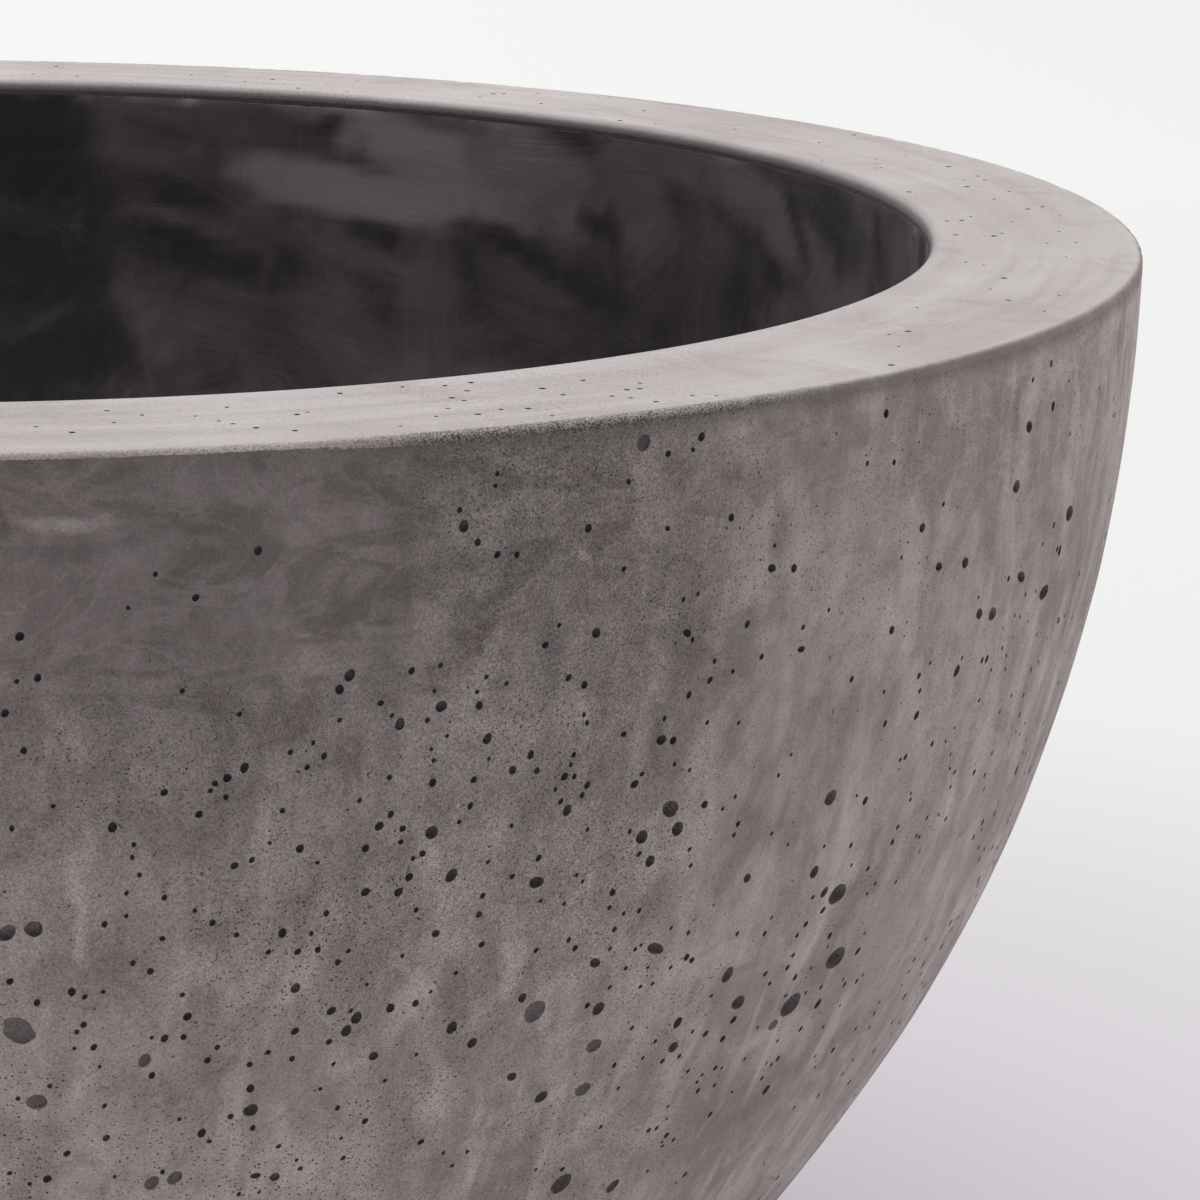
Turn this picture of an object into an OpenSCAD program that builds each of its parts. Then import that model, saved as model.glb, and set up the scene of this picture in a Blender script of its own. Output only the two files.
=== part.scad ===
// Cast concrete bowl planter.
// A thick-walled round bowl with a flat rim. Its section is one arc outside and a parallel arc inside.
// A steel cage is cast into the wall, a dark waterproof coat lines the inside, a rubber stopper closes
// the drain hole, and the base stands on glued pads.
// Millimetres, +Z up. The origin is on the floor, under the bowl's axis.

/* [Bowl] */
// Outside diameter at the widest ring
bowl_d = 602; // [500:1:740]
// Height from the floor to the flat rim
bowl_h = 320; // [266:1:400]
// Outside diameter at the base, before its edge is rounded
base_d = 276; // [230:1:392]
// How far the widest ring lies below the rim
belly_drop = 9; // [0:1:20]
// Wall thickness, which is also about the width of the flat rim
wall_t = 51; // [41:1:62]
// Thickness of the base slab under the hollow's floor
base_t = 54; // [46:1:70]

/* [Edges] */
// Radius of the rim's outer edge
rim_outer_r = 1.6; // [0.5:0.1:6]
// Radius of the rim's inner edge
rim_inner_r = 3; // [0.5:0.1:8]
// Radius of the edge round the base
base_edge_r = 7; // [2:0.5:14]
// Radius between the inner wall and the hollow's floor
floor_fillet_r = 32; // [10:1:50]

/* [Underside] */
// Height of the recess under the base
recess_h = 4; // [2:0.5:8]
// Slope of the recess's side from upright, so that the mould lets go
recess_draft = 20; // [5:1:45]
// Width of the flat left on each side of a pad
pad_margin = 5; // [2:0.5:12]

/* [Drain] */
// Diameter of the drain hole at the hollow's floor
drain_d = 32; // [24:1:44]
// Taper of the drain hole's side, left by the core pin
drain_draft = 2; // [1:0.5:4]

/* [Coat] */
// Thickness of the waterproof coat
coat_t = 1.2; // [0.8:0.1:3]
// Bare wall between the rim's rounded inner edge and the coat
coat_stop = 1; // [0.5:0.5:25]
// Bare ring between the coat and the drain hole
coat_margin = 1.5; // [1:0.5:4]

/* [Stopper] */
// How far the stopper's flange overlaps the floor round the hole
flange_lap = 12; // [6:1:20]
// Thickness of the stopper's flange
flange_t = 4; // [3:0.5:8]
// Depth that the stopper's stem reaches below the floor
stem_l = 34; // [20:1:42]
// Clearance between the stem and the hole's side
stem_gap = 0.3; // [0.2:0.05:1]
// Diameter of the grip's neck
neck_d = 13; // [9:1:18]
// Diameter of the grip's ball
grip_d = 20; // [14:1:26]
// Height of the grip above the flange
grip_h = 22; // [18:1:36]

/* [Pads] */
// Number of pads under the base
pad_count = 4; // [3:1:6]
// Diameter of a pad
pad_d = 36; // [24:1:44]
// Thickness of a pad
pad_t = 3; // [2:0.5:6]
// Chamfer round a pad's lower edge
pad_edge = 0.8; // [0.3:0.1:1.5]

/* [Cage] */
// Diameter of the steel bars
bar_d = 6; // [4:1:8]
// Concrete between the bars and the outer wall
cover = 19; // [12:1:21]
// Paste between two bars where they are tied
tie_gap = 0.4; // [0.3:0.1:1]
// Number of upright ribs
rib_count = 8; // [4:1:12]
// Depth of the top hoop below the rim
rim_hoop_drop = 34; // [28:1:60]
// How far the ribs stand above the top hoop
rib_above_hoop = 9; // [5:1:14]
// Concrete between the drain hole and the straight bars that pass it
drain_cover = 22; // [16:1:30]

/* [Hidden] */
$fn = 96;
TURN = 360;
CLEAR = 1;                              // how far a cut runs past the face that it opens
WALL_STEPS = 24;                        // straight stretches along the wall's arc in section
EDGE_STEPS = 6;                         // and round an edge or a fillet

hoop_names = ["rim_hoop", "waist_hoop", "base_hoop"];
rib_names = [for (i = [1 : rib_count]) str("rib_", i)];
base_bar_names = [for (i = [1 : 4]) str("base_bar_", i)];
pad_names = [for (i = [1 : pad_count]) str("foot_pad_", i)];

// Heights of the casting's flats and of its widest ring
under_z = pad_t;
floor_z = under_z + base_t;
belly_z = bowl_h - belly_drop;

// The outer wall's arc runs upright through the widest ring and ends at the base's diameter.
// The inner wall's arc has the same centre, level with the widest ring.
inset = (bowl_d - base_d) / 2;
drop = belly_z - under_z;
outer_r = (inset * inset + drop * drop) / (2 * inset);
inner_r = outer_r - wall_t;
centre = [bowl_d / 2 - outer_r, belly_z];

// Centres of the rounded edges, which touch the wall's arc and a flat
base_edge = wall_at(outer_r - base_edge_r, under_z + base_edge_r);
rim_outer_edge = wall_at(outer_r - rim_outer_r, bowl_h - rim_outer_r);
rim_inner_edge = wall_at(inner_r + rim_inner_r, bowl_h - rim_inner_r);
floor_fillet = wall_at(inner_r - floor_fillet_r, floor_z + floor_fillet_r);

// The coat starts below the rim's inner edge and ends short of the drain hole.
coat_top_a = angle_of(wall_at(inner_r, bowl_h - rim_inner_r - coat_stop));
coat_floor_z = floor_z + coat_t;
coat_hole_r = drain_d / 2 + coat_margin;

// Pads stand on the flat ring between the base's edge and the recess.
pad_ring_r = base_edge[0] - pad_margin - pad_d / 2;
recess_r = pad_ring_r - pad_d / 2 - pad_margin;

// The cage from the outside in: ribs, then hoops. Under the floor, two layers of straight bars pass
// the drain hole, and the bottom hoop lies on the upper layer.
bar_pitch = bar_d + tie_gap;
rib_r = outer_r - cover - bar_d / 2;
hoop_r = rib_r - bar_pitch;
low_bar_z = under_z + recess_h + cover + bar_d / 2;
base_hoop_z = low_bar_z + 2 * bar_pitch;
rim_hoop_z = bowl_h - rim_hoop_drop;
waist_hoop_z = (rim_hoop_z + base_hoop_z) / 2;
bar_offset = drain_d / 2 + drain_cover + bar_d / 2;

// Point of the wall arc of radius r at height z, as [distance from the axis, height]
function wall_at(r, z) = [centre[0] + sqrt(r * r - pow(z - centre[1], 2)), z];
// Angle above the level line at which point p lies, seen from the arcs' centre
function angle_of(p) = atan2(p[1] - centre[1], p[0] - centre[0]);
// Points round c at radius r, from the angle a to the angle b in the given number of steps
function arc(c, r, a, b, steps) =
  [for (i = [0 : steps]) c + r * [cos(a + (b - a) * i / steps), sin(a + (b - a) * i / steps)]];
// The list of points the other way round
function back(points) = [for (i = [len(points) - 1 : -1 : 0]) points[i]];
// The hollow's side and floor at depth t inside the concrete's own surface, from the coat's top
// down to the level floor
function hollow(t) = concat(
  arc(centre, inner_r - t, coat_top_a, angle_of(floor_fillet), WALL_STEPS),
  arc(floor_fillet, floor_fillet_r - t, angle_of(floor_fillet), -90, EDGE_STEPS)
);
// Radius of the drain hole at height z
function drain_r(z) = drain_d / 2 - (floor_z - z) * tan(drain_draft);

// The casting's half section, from the base's middle round the outside, over the rim and down
function shell_outline() = concat(
  [[0, under_z]],
  arc(base_edge, base_edge_r, -90, angle_of(base_edge), EDGE_STEPS),
  arc(centre, outer_r, angle_of(base_edge), angle_of(rim_outer_edge), WALL_STEPS),
  arc(rim_outer_edge, rim_outer_r, angle_of(rim_outer_edge), 90, EDGE_STEPS),
  arc(rim_inner_edge, rim_inner_r, 90, 180 + angle_of(rim_inner_edge), EDGE_STEPS),
  hollow(0),
  [[0, floor_z]]
);

// The concrete casting
module bowl_shell() {
  color("#9b9792") difference() {
    rotate_extrude() polygon(shell_outline());
    drain_hole();
    underside_recess();
    hoop(rim_hoop_z);
    hoop(waist_hoop_z);
    hoop(base_hoop_z);
    for (i = [0 : rib_count - 1]) rib(i);
    for (i = [0 : 3]) base_bar(i);
  }
}

module drain_hole() {
  low = under_z - CLEAR;
  high = floor_z + CLEAR;
  translate([0, 0, low]) cylinder(r1 = drain_r(low), r2 = drain_r(high), h = high - low);
}

module underside_recess() {
  slope = tan(recess_draft);
  translate([0, 0, under_z - CLEAR])
    cylinder(r1 = recess_r + CLEAR * slope, r2 = recess_r - recess_h * slope, h = recess_h + CLEAR);
}

// The waterproof coat, a skin on the hollow's side and floor
module inner_coat() {
  color("#2b2a2d") rotate_extrude() polygon(concat(
    hollow(0), [[coat_hole_r, floor_z], [coat_hole_r, coat_floor_z]], back(hollow(coat_t))
  ));
}

// The rubber stopper: a tapered stem, a flange that rests on the coat and a grip to lift it by
module drain_stopper() {
  nose = 2;
  flange_r = drain_d / 2 + flange_lap;
  flange_top_z = coat_floor_z + flange_t;
  rim = flange_t / 2;
  stem_low_z = floor_z - stem_l;
  stem_low_r = drain_r(stem_low_z) - stem_gap;
  ball = [0, flange_top_z + grip_h - grip_d / 2];
  neck_a = -acos(neck_d / grip_d);
  color("#1d1d1f") rotate_extrude() polygon(concat(
    [[0, stem_low_z], [stem_low_r - nose, stem_low_z], [stem_low_r, stem_low_z + nose]],
    [[drain_r(coat_floor_z) - stem_gap, coat_floor_z]],
    [[flange_r, coat_floor_z]],
    arc([flange_r - rim, flange_top_z - rim], rim, 0, 90, EDGE_STEPS),
    back(arc([neck_d / 2 + rim, flange_top_z + rim], rim, 180, 270, EDGE_STEPS)),
    arc(ball, grip_d / 2, neck_a, 90, 3 * EDGE_STEPS)
  ));
}

// One steel hoop, tied inside the ribs at height z
module hoop(z) {
  rotate_extrude() translate(wall_at(hoop_r, z)) circle(d = bar_d);
}

// One upright rib, bent to the wall's arc, from the bottom hoop to just above the top one
module rib(i) {
  low = angle_of(wall_at(rib_r, base_hoop_z));
  high = angle_of(wall_at(rib_r, rim_hoop_z + rib_above_hoop));
  rotate([0, 0, TURN / rib_count * (i + 0.5)]) translate([centre[0], 0, centre[1]])
    rotate([90, -low, 0]) rotate_extrude(angle = high - low) translate([rib_r, 0]) circle(d = bar_d);
}

// One of the four straight bars round the drain hole, in two crossing layers
module base_bar(i) {
  upper = i % 2;
  half_l = sqrt(pow(wall_at(hoop_r, base_hoop_z)[0], 2) - bar_offset * bar_offset);
  rotate([0, 0, 90 * i]) translate([-half_l, bar_offset, low_bar_z + upper * bar_pitch])
    rotate([0, 90, 0]) cylinder(d = bar_d, h = 2 * half_l);
}

// One glued rubber pad under the base
module foot_pad(i) {
  r = pad_d / 2;
  color("#2a2a2b") rotate([0, 0, TURN / pad_count * i]) translate([pad_ring_r, 0, 0]) rotate_extrude()
    polygon([[0, 0], [r - pad_edge, 0], [r, pad_edge], [r, pad_t], [0, pad_t]]);
}

module steel() {
  color("#6f6a64") children();
}

bowl_shell();
inner_coat();
drain_stopper();
steel() hoop(rim_hoop_z);  // rim_hoop
steel() hoop(waist_hoop_z);  // waist_hoop
steel() hoop(base_hoop_z);  // base_hoop
for (i = [0 : rib_count - 1]) steel() rib(i);
for (i = [0 : 3]) steel() base_bar(i);
for (i = [0 : pad_count - 1]) foot_pad(i);
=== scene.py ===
"""Looks of the concrete bowl planter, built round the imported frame.

Lengths are millimetres until a mesh is made, which turns them into metres. The front is -Y, a turn is an
angle round +Z from the front towards +X, and a profile is a list of (distance from the axis, height).
"""
import math

import bpy
import numpy as np
from mathutils import Matrix, Vector
from mathutils.geometry import delaunay_2d_cdt


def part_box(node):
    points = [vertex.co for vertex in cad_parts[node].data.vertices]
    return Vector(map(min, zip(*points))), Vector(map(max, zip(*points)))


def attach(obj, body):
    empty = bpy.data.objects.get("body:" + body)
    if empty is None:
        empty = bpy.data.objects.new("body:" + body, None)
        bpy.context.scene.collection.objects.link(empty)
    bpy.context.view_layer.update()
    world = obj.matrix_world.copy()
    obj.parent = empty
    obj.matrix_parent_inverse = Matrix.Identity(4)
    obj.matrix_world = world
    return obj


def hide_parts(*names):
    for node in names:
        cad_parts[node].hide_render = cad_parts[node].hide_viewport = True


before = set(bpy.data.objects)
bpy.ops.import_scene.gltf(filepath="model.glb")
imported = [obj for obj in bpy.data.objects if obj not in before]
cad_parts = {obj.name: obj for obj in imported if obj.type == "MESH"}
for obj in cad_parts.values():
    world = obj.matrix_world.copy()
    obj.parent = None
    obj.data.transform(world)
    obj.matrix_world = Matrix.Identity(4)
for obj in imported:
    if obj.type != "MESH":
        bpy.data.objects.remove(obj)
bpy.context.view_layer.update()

MM = 0.001
TAU = 2 * math.pi

# ---------------------------------------------------------------- sizes of the casting, as in the frame
shell_low, shell_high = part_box("bowl_shell")
BOWL_R = shell_high.x / MM
RIM_Z = shell_high.z / MM
UNDER_Z = shell_low.z / MM
BELLY_Z = RIM_Z - 9
BASE_R = 138
WALL_T = 51
BASE_T = 54
RIM_OUTER_R = 1.6
RIM_INNER_R = 3
BASE_EDGE_R = 7
FILLET_R = 32
RECESS_H = 4
RECESS_SLOPE = math.tan(math.radians(20))
DRAIN_R = 16
DRAIN_SLOPE = math.tan(math.radians(2))
COAT_T = 1.2
COAT_STOP = 1
COAT_MARGIN = 1.5
PAD_R = 18
PAD_T = 3
PAD_MARGIN = 5
FLOOR_Z = UNDER_Z + BASE_T

# The wall's two arcs share a centre, level with the widest ring.
INSET = BOWL_R - BASE_R
DROP = BELLY_Z - UNDER_Z
OUTER_R = (INSET**2 + DROP**2) / (2 * INSET)
INNER_R = OUTER_R - WALL_T
CENTRE = np.array((BOWL_R - OUTER_R, BELLY_Z))


def wall_at(radius, z):
    """The point at height z of the arc of this radius round the walls' centre."""
    return np.array((CENTRE[0] + math.sqrt(radius**2 - (z - CENTRE[1]) ** 2), z))


def angle_of(point):
    """The angle above level at which a profile point lies, seen from the walls' centre."""
    return math.atan2(point[1] - CENTRE[1], point[0] - CENTRE[0])


BASE_EDGE = wall_at(OUTER_R - BASE_EDGE_R, UNDER_Z + BASE_EDGE_R)
RIM_OUTER = wall_at(OUTER_R - RIM_OUTER_R, RIM_Z - RIM_OUTER_R)
RIM_INNER = wall_at(INNER_R + RIM_INNER_R, RIM_Z - RIM_INNER_R)
FILLET = wall_at(INNER_R - FILLET_R, FLOOR_Z + FILLET_R)
WALL_TOP_A = angle_of(RIM_OUTER)
COAT_TOP_A = angle_of(wall_at(INNER_R, RIM_Z - RIM_INNER_R - COAT_STOP))
WALL_LOW_A = angle_of(BASE_EDGE)
WALL_S = OUTER_R * (WALL_TOP_A - WALL_LOW_A)
HALF_TURN = math.pi * BOWL_R
FLAT_W = RIM_OUTER[0] - RIM_INNER[0]
PAD_RING_R = BASE_EDGE[0] - PAD_MARGIN - PAD_R
RECESS_R = PAD_RING_R - PAD_R - PAD_MARGIN


def drain_r(z):
    """Radius of the drain hole at height z."""
    return DRAIN_R - (FLOOR_Z - z) * DRAIN_SLOPE


def arc(centre, radius, start, end, steps):
    """Profile points round a centre from one angle to another, both ends included."""
    a = np.linspace(start, end, steps + 1)
    return np.stack([centre[0] + radius * np.cos(a), centre[1] + radius * np.sin(a)], 1)


# ---------------------------------------------------------------- the photograph's camera
PHOTO_SIDE = 1200
SENSOR = 36.0
LENS = 128.09
CAMERA_AT = np.array((0.0, -1059.7, 480.7))
YAW, PITCH, ROLL = (math.radians(a) for a in (9.289, 13.829, 1.361))
TRACE_STEPS = 200


def camera_axes():
    """The camera's right, up and forward directions."""
    ahead = np.array((math.sin(YAW) * math.cos(PITCH), math.cos(YAW) * math.cos(PITCH), -math.sin(PITCH)))
    level = np.array((math.cos(YAW), -math.sin(YAW), 0))
    upright = np.cross(level, ahead)
    right = math.cos(ROLL) * level + math.sin(ROLL) * upright
    return right, math.cos(ROLL) * upright - math.sin(ROLL) * level, ahead


def make_camera():
    right, up, ahead = camera_axes()
    data = bpy.data.cameras.new("photo_camera")
    data.sensor_width = SENSOR
    data.lens = LENS
    data.clip_start = 0.02
    data.clip_end = 60
    camera = bpy.data.objects.new("photo_camera", data)
    turned = Matrix((right, up, -ahead)).transposed()
    camera.matrix_world = Matrix.Translation(Vector(CAMERA_AT * MM)) @ turned.to_4x4()
    bpy.context.scene.collection.objects.link(camera)
    bpy.context.scene.camera = camera


def photo_ray(x, y):
    """Direction in which the photograph's pixel looks, and the size of a pixel at a distance of 1."""
    right, up, ahead = camera_axes()
    pixel = SENSOR / LENS / PHOTO_SIDE
    middle = PHOTO_SIDE / 2
    ray = ahead + (x - middle) * pixel * right - (y - middle) * pixel * up
    return ray / np.linalg.norm(ray), pixel


def traced(x, y, radius, inside):
    """Where the pixel meets the surface of the arc of this radius, from outside or from inside the bowl,
    and how many millimetres wide a pixel is there."""
    ray, pixel = photo_ray(x, y)
    far = (RIM_Z - CAMERA_AT[2]) / ray[2] if inside else 0.0
    for _ in range(TRACE_STEPS):
        p = CAMERA_AT + far * ray
        gap = math.hypot(math.hypot(p[0], p[1]) - CENTRE[0], p[2] - CENTRE[1]) - radius
        far += -gap if inside else gap
    return p, far * pixel


def point_on_wall(x, y):
    """Where the pixel meets the wall, and how many millimetres wide a pixel is there."""
    return traced(x, y, OUTER_R, False)


def turn_and_down(p, radius, top_a):
    """A traced point's turn, and its distance down the arc from the angle top_a."""
    return math.atan2(p[0], -p[1]), radius * (top_a - angle_of((math.hypot(p[0], p[1]), p[2])))


def seen_on_wall(x, y):
    """(turn, distance down the wall from the rim) where the pixel meets the wall."""
    return turn_and_down(point_on_wall(x, y)[0], OUTER_R, WALL_TOP_A)


def seen_in_hollow(x, y):
    """(turn, distance down the inner wall, millimetres to a pixel) where the pixel meets the inner wall."""
    p, pixel = traced(x, y, INNER_R, True)
    return (*turn_and_down(p, INNER_R, COAT_TOP_A), pixel)


def seen_on_rim(x, y):
    """(turn, distance in from the rim's outer edge) where the pixel meets the rim's top."""
    ray, _ = photo_ray(x, y)
    p = CAMERA_AT + (RIM_Z - CAMERA_AT[2]) / ray[2] * ray
    return math.atan2(p[0], -p[1]), RIM_OUTER[0] - math.hypot(p[0], p[1])


# ---------------------------------------------------------------- mesh tools
def waves(points, length, seed, count=14):
    """A smooth random field from about -1 to 1, whose hills are about length apart."""
    draw = np.random.default_rng(seed)
    way = draw.normal(size=(count, 3))
    way /= np.linalg.norm(way, axis=1)[:, None]
    pace = TAU / (length * draw.uniform(0.7, 1.6, count))
    phase = draw.uniform(0, TAU, count)
    return np.sin(points @ (way * pace[:, None]).T + phase).sum(1) / math.sqrt(count)


def smooth(x, low, high):
    """0 below low, 1 above high and an even curve between."""
    t = np.clip((x - low) / (high - low), 0, 1)
    return t * t * (3 - 2 * t)


def ring_turns(count):
    """The turns of a ring's vertices, evenly spread from the back."""
    return -math.pi + TAU * np.arange(count) / count


def spun(turn, profile):
    """Points in space for turns and profile points, one of each to a point, or one profile point for all."""
    r, z = np.broadcast_to(profile, (len(turn), 2)).T
    return np.stack([r * np.sin(turn), -r * np.cos(turn), z], 1)


class Skin:
    """Collects the vertices and faces of one mesh, with the marks that its material reads."""

    def __init__(self):
        self.points = []
        self.marks = []
        self.turns = []
        self.along = []
        self.faces = []
        self.hollow = []
        self.size = 0

    def add(self, points, turns, along, marks):
        """Adds vertices and returns their numbers. along is the distance down the whole profile."""
        self.points.append(points)
        self.turns.append(turns)
        self.along.append(np.broadcast_to(along, len(points)))
        wide = len(marks) if np.ndim(marks) == 1 else marks.shape[1]
        self.marks.append(np.broadcast_to(marks, (len(points), wide)))
        self.size += len(points)
        return np.arange(self.size - len(points), self.size)

    def bridge(self, low, high):
        """Joins two closed rings that have as many vertices as each other."""
        quads = np.stack([low, np.roll(low, -1), np.roll(high, -1), high], 1)
        self.faces.extend(map(tuple, quads.tolist()))
        self.hollow.extend([0.0] * len(quads))

    def fill(self, faces, hollow):
        self.faces.extend(map(tuple, faces.tolist()))
        self.hollow.extend(hollow.tolist())

    def cap(self, ring, middle):
        """Closes a ring with a fan round one vertex."""
        after = np.roll(ring, -1)
        fan = np.stack([ring, after, np.full(len(ring), middle)], 1)
        self.fill(fan, np.zeros(len(fan)))

    def build(self, name, mark_names, sharp=()):
        """The finished object, in metres, with smooth faces that break only at the sharp edges."""
        mesh = bpy.data.meshes.new(name)
        mesh.from_pydata((np.concatenate(self.points) * MM).tolist(), [], self.faces)
        mesh.polygons.foreach_set("use_smooth", [True] * len(self.faces))
        marks = np.concatenate(self.marks)
        for column, mark in enumerate(mark_names):
            made = mesh.attributes.new(mark, "FLOAT", "POINT")
            made.data.foreach_set("value", marks[:, column].astype(np.float32))
        if any(self.hollow):
            made = mesh.attributes.new("hollow", "FLOAT", "FACE")
            made.data.foreach_set("value", np.array(self.hollow, np.float32))
        if len(sharp):
            ends = np.zeros(len(mesh.edges) * 2, np.int64)
            mesh.edges.foreach_get("vertices", ends)
            ends = np.sort(ends.reshape(-1, 2), 1)
            sharp = np.sort(np.array(sharp), 1)
            key = ends[:, 0] * self.size + ends[:, 1]
            wanted = sharp[:, 0] * self.size + sharp[:, 1]
            mesh.edges.foreach_set("use_edge_sharp", np.isin(key, wanted))
        mesh.validate()
        made = bpy.data.objects.new(name, mesh)
        bpy.context.scene.collection.objects.link(made)
        return made


def tidy_map(obj, skin, bands):
    """Gives the mesh a map that unrolls each band of its profile in four quarter turns, so that every face
    has a place of its own. bands is a list of (start, end, height of its row) along the profile."""
    mesh = obj.data
    turns = np.concatenate(skin.turns)
    along = np.concatenate(skin.along)
    counts = np.array([len(f) for f in skin.faces])
    corners = np.concatenate([np.array(f) for f in skin.faces])
    first = np.concatenate([[0], np.cumsum(counts)[:-1]])
    turn = turns[corners]
    place = along[corners]
    turn_low = np.repeat(np.minimum.reduceat(turn, first), counts)
    turn = np.where(turn - turn_low > math.pi, turn - TAU, turn)
    place_low = np.repeat(np.minimum.reduceat(place, first), counts)
    total = bands[-1][1]
    place = np.where(place - place_low > total / 2, place - total, place)
    middle_turn = np.repeat(np.add.reduceat(turn, first) / counts, counts)
    middle_place = np.repeat(np.add.reduceat(place, first) / counts, counts) % total
    place = np.where(middle_place - place > total / 2, place + total, place)
    quarter = np.floor((middle_turn % TAU) / (TAU / 4)).astype(int)
    across = (turn % TAU) - quarter * TAU / 4
    across = np.where(across > TAU / 2, across - TAU, across)
    across = np.where(across < -TAU / 2, across + TAU, across)
    gutter = 0.06
    u = (across / (TAU / 4) * (1 - 2 * gutter) + gutter + quarter % 2) / 2
    v = np.zeros(len(u))
    bottom = 0.0
    for start, end, row in bands:
        inside = (middle_place >= start) & (middle_place < end)
        share = (place - start) / (end - start)
        v = np.where(inside, bottom + (quarter // 2 + gutter + share * (1 - 2 * gutter)) * row, v)
        bottom += 2 * row
    layer = mesh.uv_layers.new(name="OFBake")
    layer.data.foreach_set("uv", np.stack([u, v], 1).ravel().astype(np.float32))


# ---------------------------------------------------------------- air bubbles, filled bubbles and chips
# A hollow's rings, as (share of its radius, share of its depth, corners), by its kind.
RINGS = {
    "bubble_tiny": ((1, 0, 6), (0.6, 0.85, 3)),
    "bubble_small": ((1, 0, 8), (0.68, 0.8, 5)),
    "bubble_mid": ((1, 0, 12), (0.88, 0.6, 9), (0.5, 1, 4)),
    "bubble_large": ((1, 0, 18), (0.94, 0.5, 14), (0.7, 0.9, 9), (0.3, 1, 4)),
    "filled": ((1, 0, 14), (0.82, 0.75, 10), (0.4, 1, 5)),
    "chip": ((1, 0, 26), (0.83, 0.6, 20), (0.52, 0.95, 12), (0.2, 1, 5)),
}
# How much of the dark colour the faces of a hollow take: painted shade with some dark dust in the bubbles and
# chips, and the darker filler in the filled bubbles
HOLLOW_SHADE_AND_FILLER = {
    "bubble_tiny": 1,
    "bubble_small": 0.97,
    "bubble_mid": 0.76,
    "bubble_large": 0.48,
    "filled": 0.8,
    "chip": 0.68,
}
BUBBLE_KINDS = ((1.4, "bubble_tiny"), (2.1, "bubble_small"), (3.2, "bubble_mid"), (math.inf, "bubble_large"))


class Hollow:
    """A hollow in the unrolled surface, at (across, up), with its half width and half height."""

    def __init__(self, across, up, half_w, half_h, depth, kind, tilt, rough, draw):
        self.across, self.up = across, up
        self.half_w, self.half_h = half_w, half_h
        self.depth, self.kind, self.tilt = depth, kind, tilt
        self.reach = max(half_w, half_h) * (1 + rough)
        self.bends = [(rough * draw.uniform(0.3, 1) / (k - 1), k, draw.uniform(0, TAU)) for k in (2, 3, 5)]
        self.phase = draw.uniform(0, TAU)

    def ring(self, share, corners, stretch):
        """The ring's points in the unrolled surface, which is wider than the real one by stretch."""
        a = self.phase + np.arange(corners) * TAU / corners
        radius = share * (1 + sum(size * np.sin(k * a + at) for size, k, at in self.bends))
        x = radius * self.half_w * np.cos(a)
        y = radius * self.half_h * np.sin(a)
        across = x * math.cos(self.tilt) - y * math.sin(self.tilt)
        up = x * math.sin(self.tilt) + y * math.cos(self.tilt)
        return np.stack([self.across + across * stretch, self.up + up], 1)


def bubble_kind(diameter):
    return next(kind for widest, kind in BUBBLE_KINDS if diameter < widest)


class Spread:
    """Hollows kept clear of each other, found quickly by the square they lie in."""

    SQUARE = 12.0

    def __init__(self):
        self.all = []
        self.squares = {}

    def near(self, across, up, reach):
        steps = int((reach + 8) // self.SQUARE) + 1
        i, j = int(across // self.SQUARE), int(up // self.SQUARE)
        for a in range(i - steps, i + steps + 1):
            for b in range(j - steps, j + steps + 1):
                yield from self.squares.get((a, b), ())

    def clear(self, across, up, reach, stretch, gap):
        return all(
            math.hypot((h.across - across) / stretch, h.up - up) > h.reach + reach + gap
            for h in self.near(across, up, reach * stretch)
        )

    def place(self, hollow):
        self.all.append(hollow)
        key = (int(hollow.across // self.SQUARE), int(hollow.up // self.SQUARE))
        self.squares.setdefault(key, []).append(hollow)


def unrolled(low_count, high_count, height, side_steps, loose, loops):
    """Triangles of an unrolled ring, from its low edge to its high one. Returns all points as (across, up),
    the triangles, each point's number once the two sides are joined, and where each group of points starts:
    low edge, high edge, left side, right side, loose points and then one group for each loop."""
    low = np.stack([np.linspace(-HALF_TURN, HALF_TURN, low_count + 1), np.zeros(low_count + 1)], 1)
    high = np.stack([np.linspace(-HALF_TURN, HALF_TURN, high_count + 1), np.full(high_count + 1, height)], 1)
    ups = height * np.arange(1, side_steps) / side_steps
    left = np.stack([np.full(len(ups), -HALF_TURN), ups], 1)
    right = np.stack([np.full(len(ups), HALF_TURN), ups], 1)
    groups = [low, high, left, right, loose, *loops]
    starts = np.concatenate([[0], np.cumsum([len(g) for g in groups])])
    points = np.concatenate(groups)
    joined = np.arange(len(points))
    joined[starts[1] - 1] = 0
    joined[starts[2] - 1] = starts[1]
    joined[starts[3] : starts[4]] = np.arange(starts[2], starts[3])
    edges = []
    for start, end in zip(starts[5:-1], starts[6:]):
        edges += [(i, i + 1) for i in range(start, end - 1)] + [(end - 1, start)]
    made = delaunay_2d_cdt([Vector(p) for p in points.tolist()], edges, [], 0, 1e-6, True)
    source = np.array([o[0] if o else -1 for o in made[3]])
    if (source < 0).any():
        raise ValueError("two hollows cross each other")
    return points, source[np.array(made[2])], joined, starts


# Bubbles on a square centimetre of the lower wall, by their width: (from, to, how many)
BUBBLE_SIZES = ((0.9, 1.2, 0.42), (1.2, 1.6, 0.32), (1.6, 2.0, 0.11), (2.0, 2.6, 0.03), (2.6, 3.2, 0.003))
# How many more filled bubbles, chips and pinholes in the rim there are at random, and how often each of the
# wall's is tried
FILLED_COUNT = 34
CHIP_COUNT = 6
PINHOLE_COUNT = 165
TRIES = 30
# How far the wall's hollows stay from the low and high edge of its sheet and from its sides
LOW_MARGIN = 3
HIGH_MARGIN = 2.2
SIDE_MARGIN = 8
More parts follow.
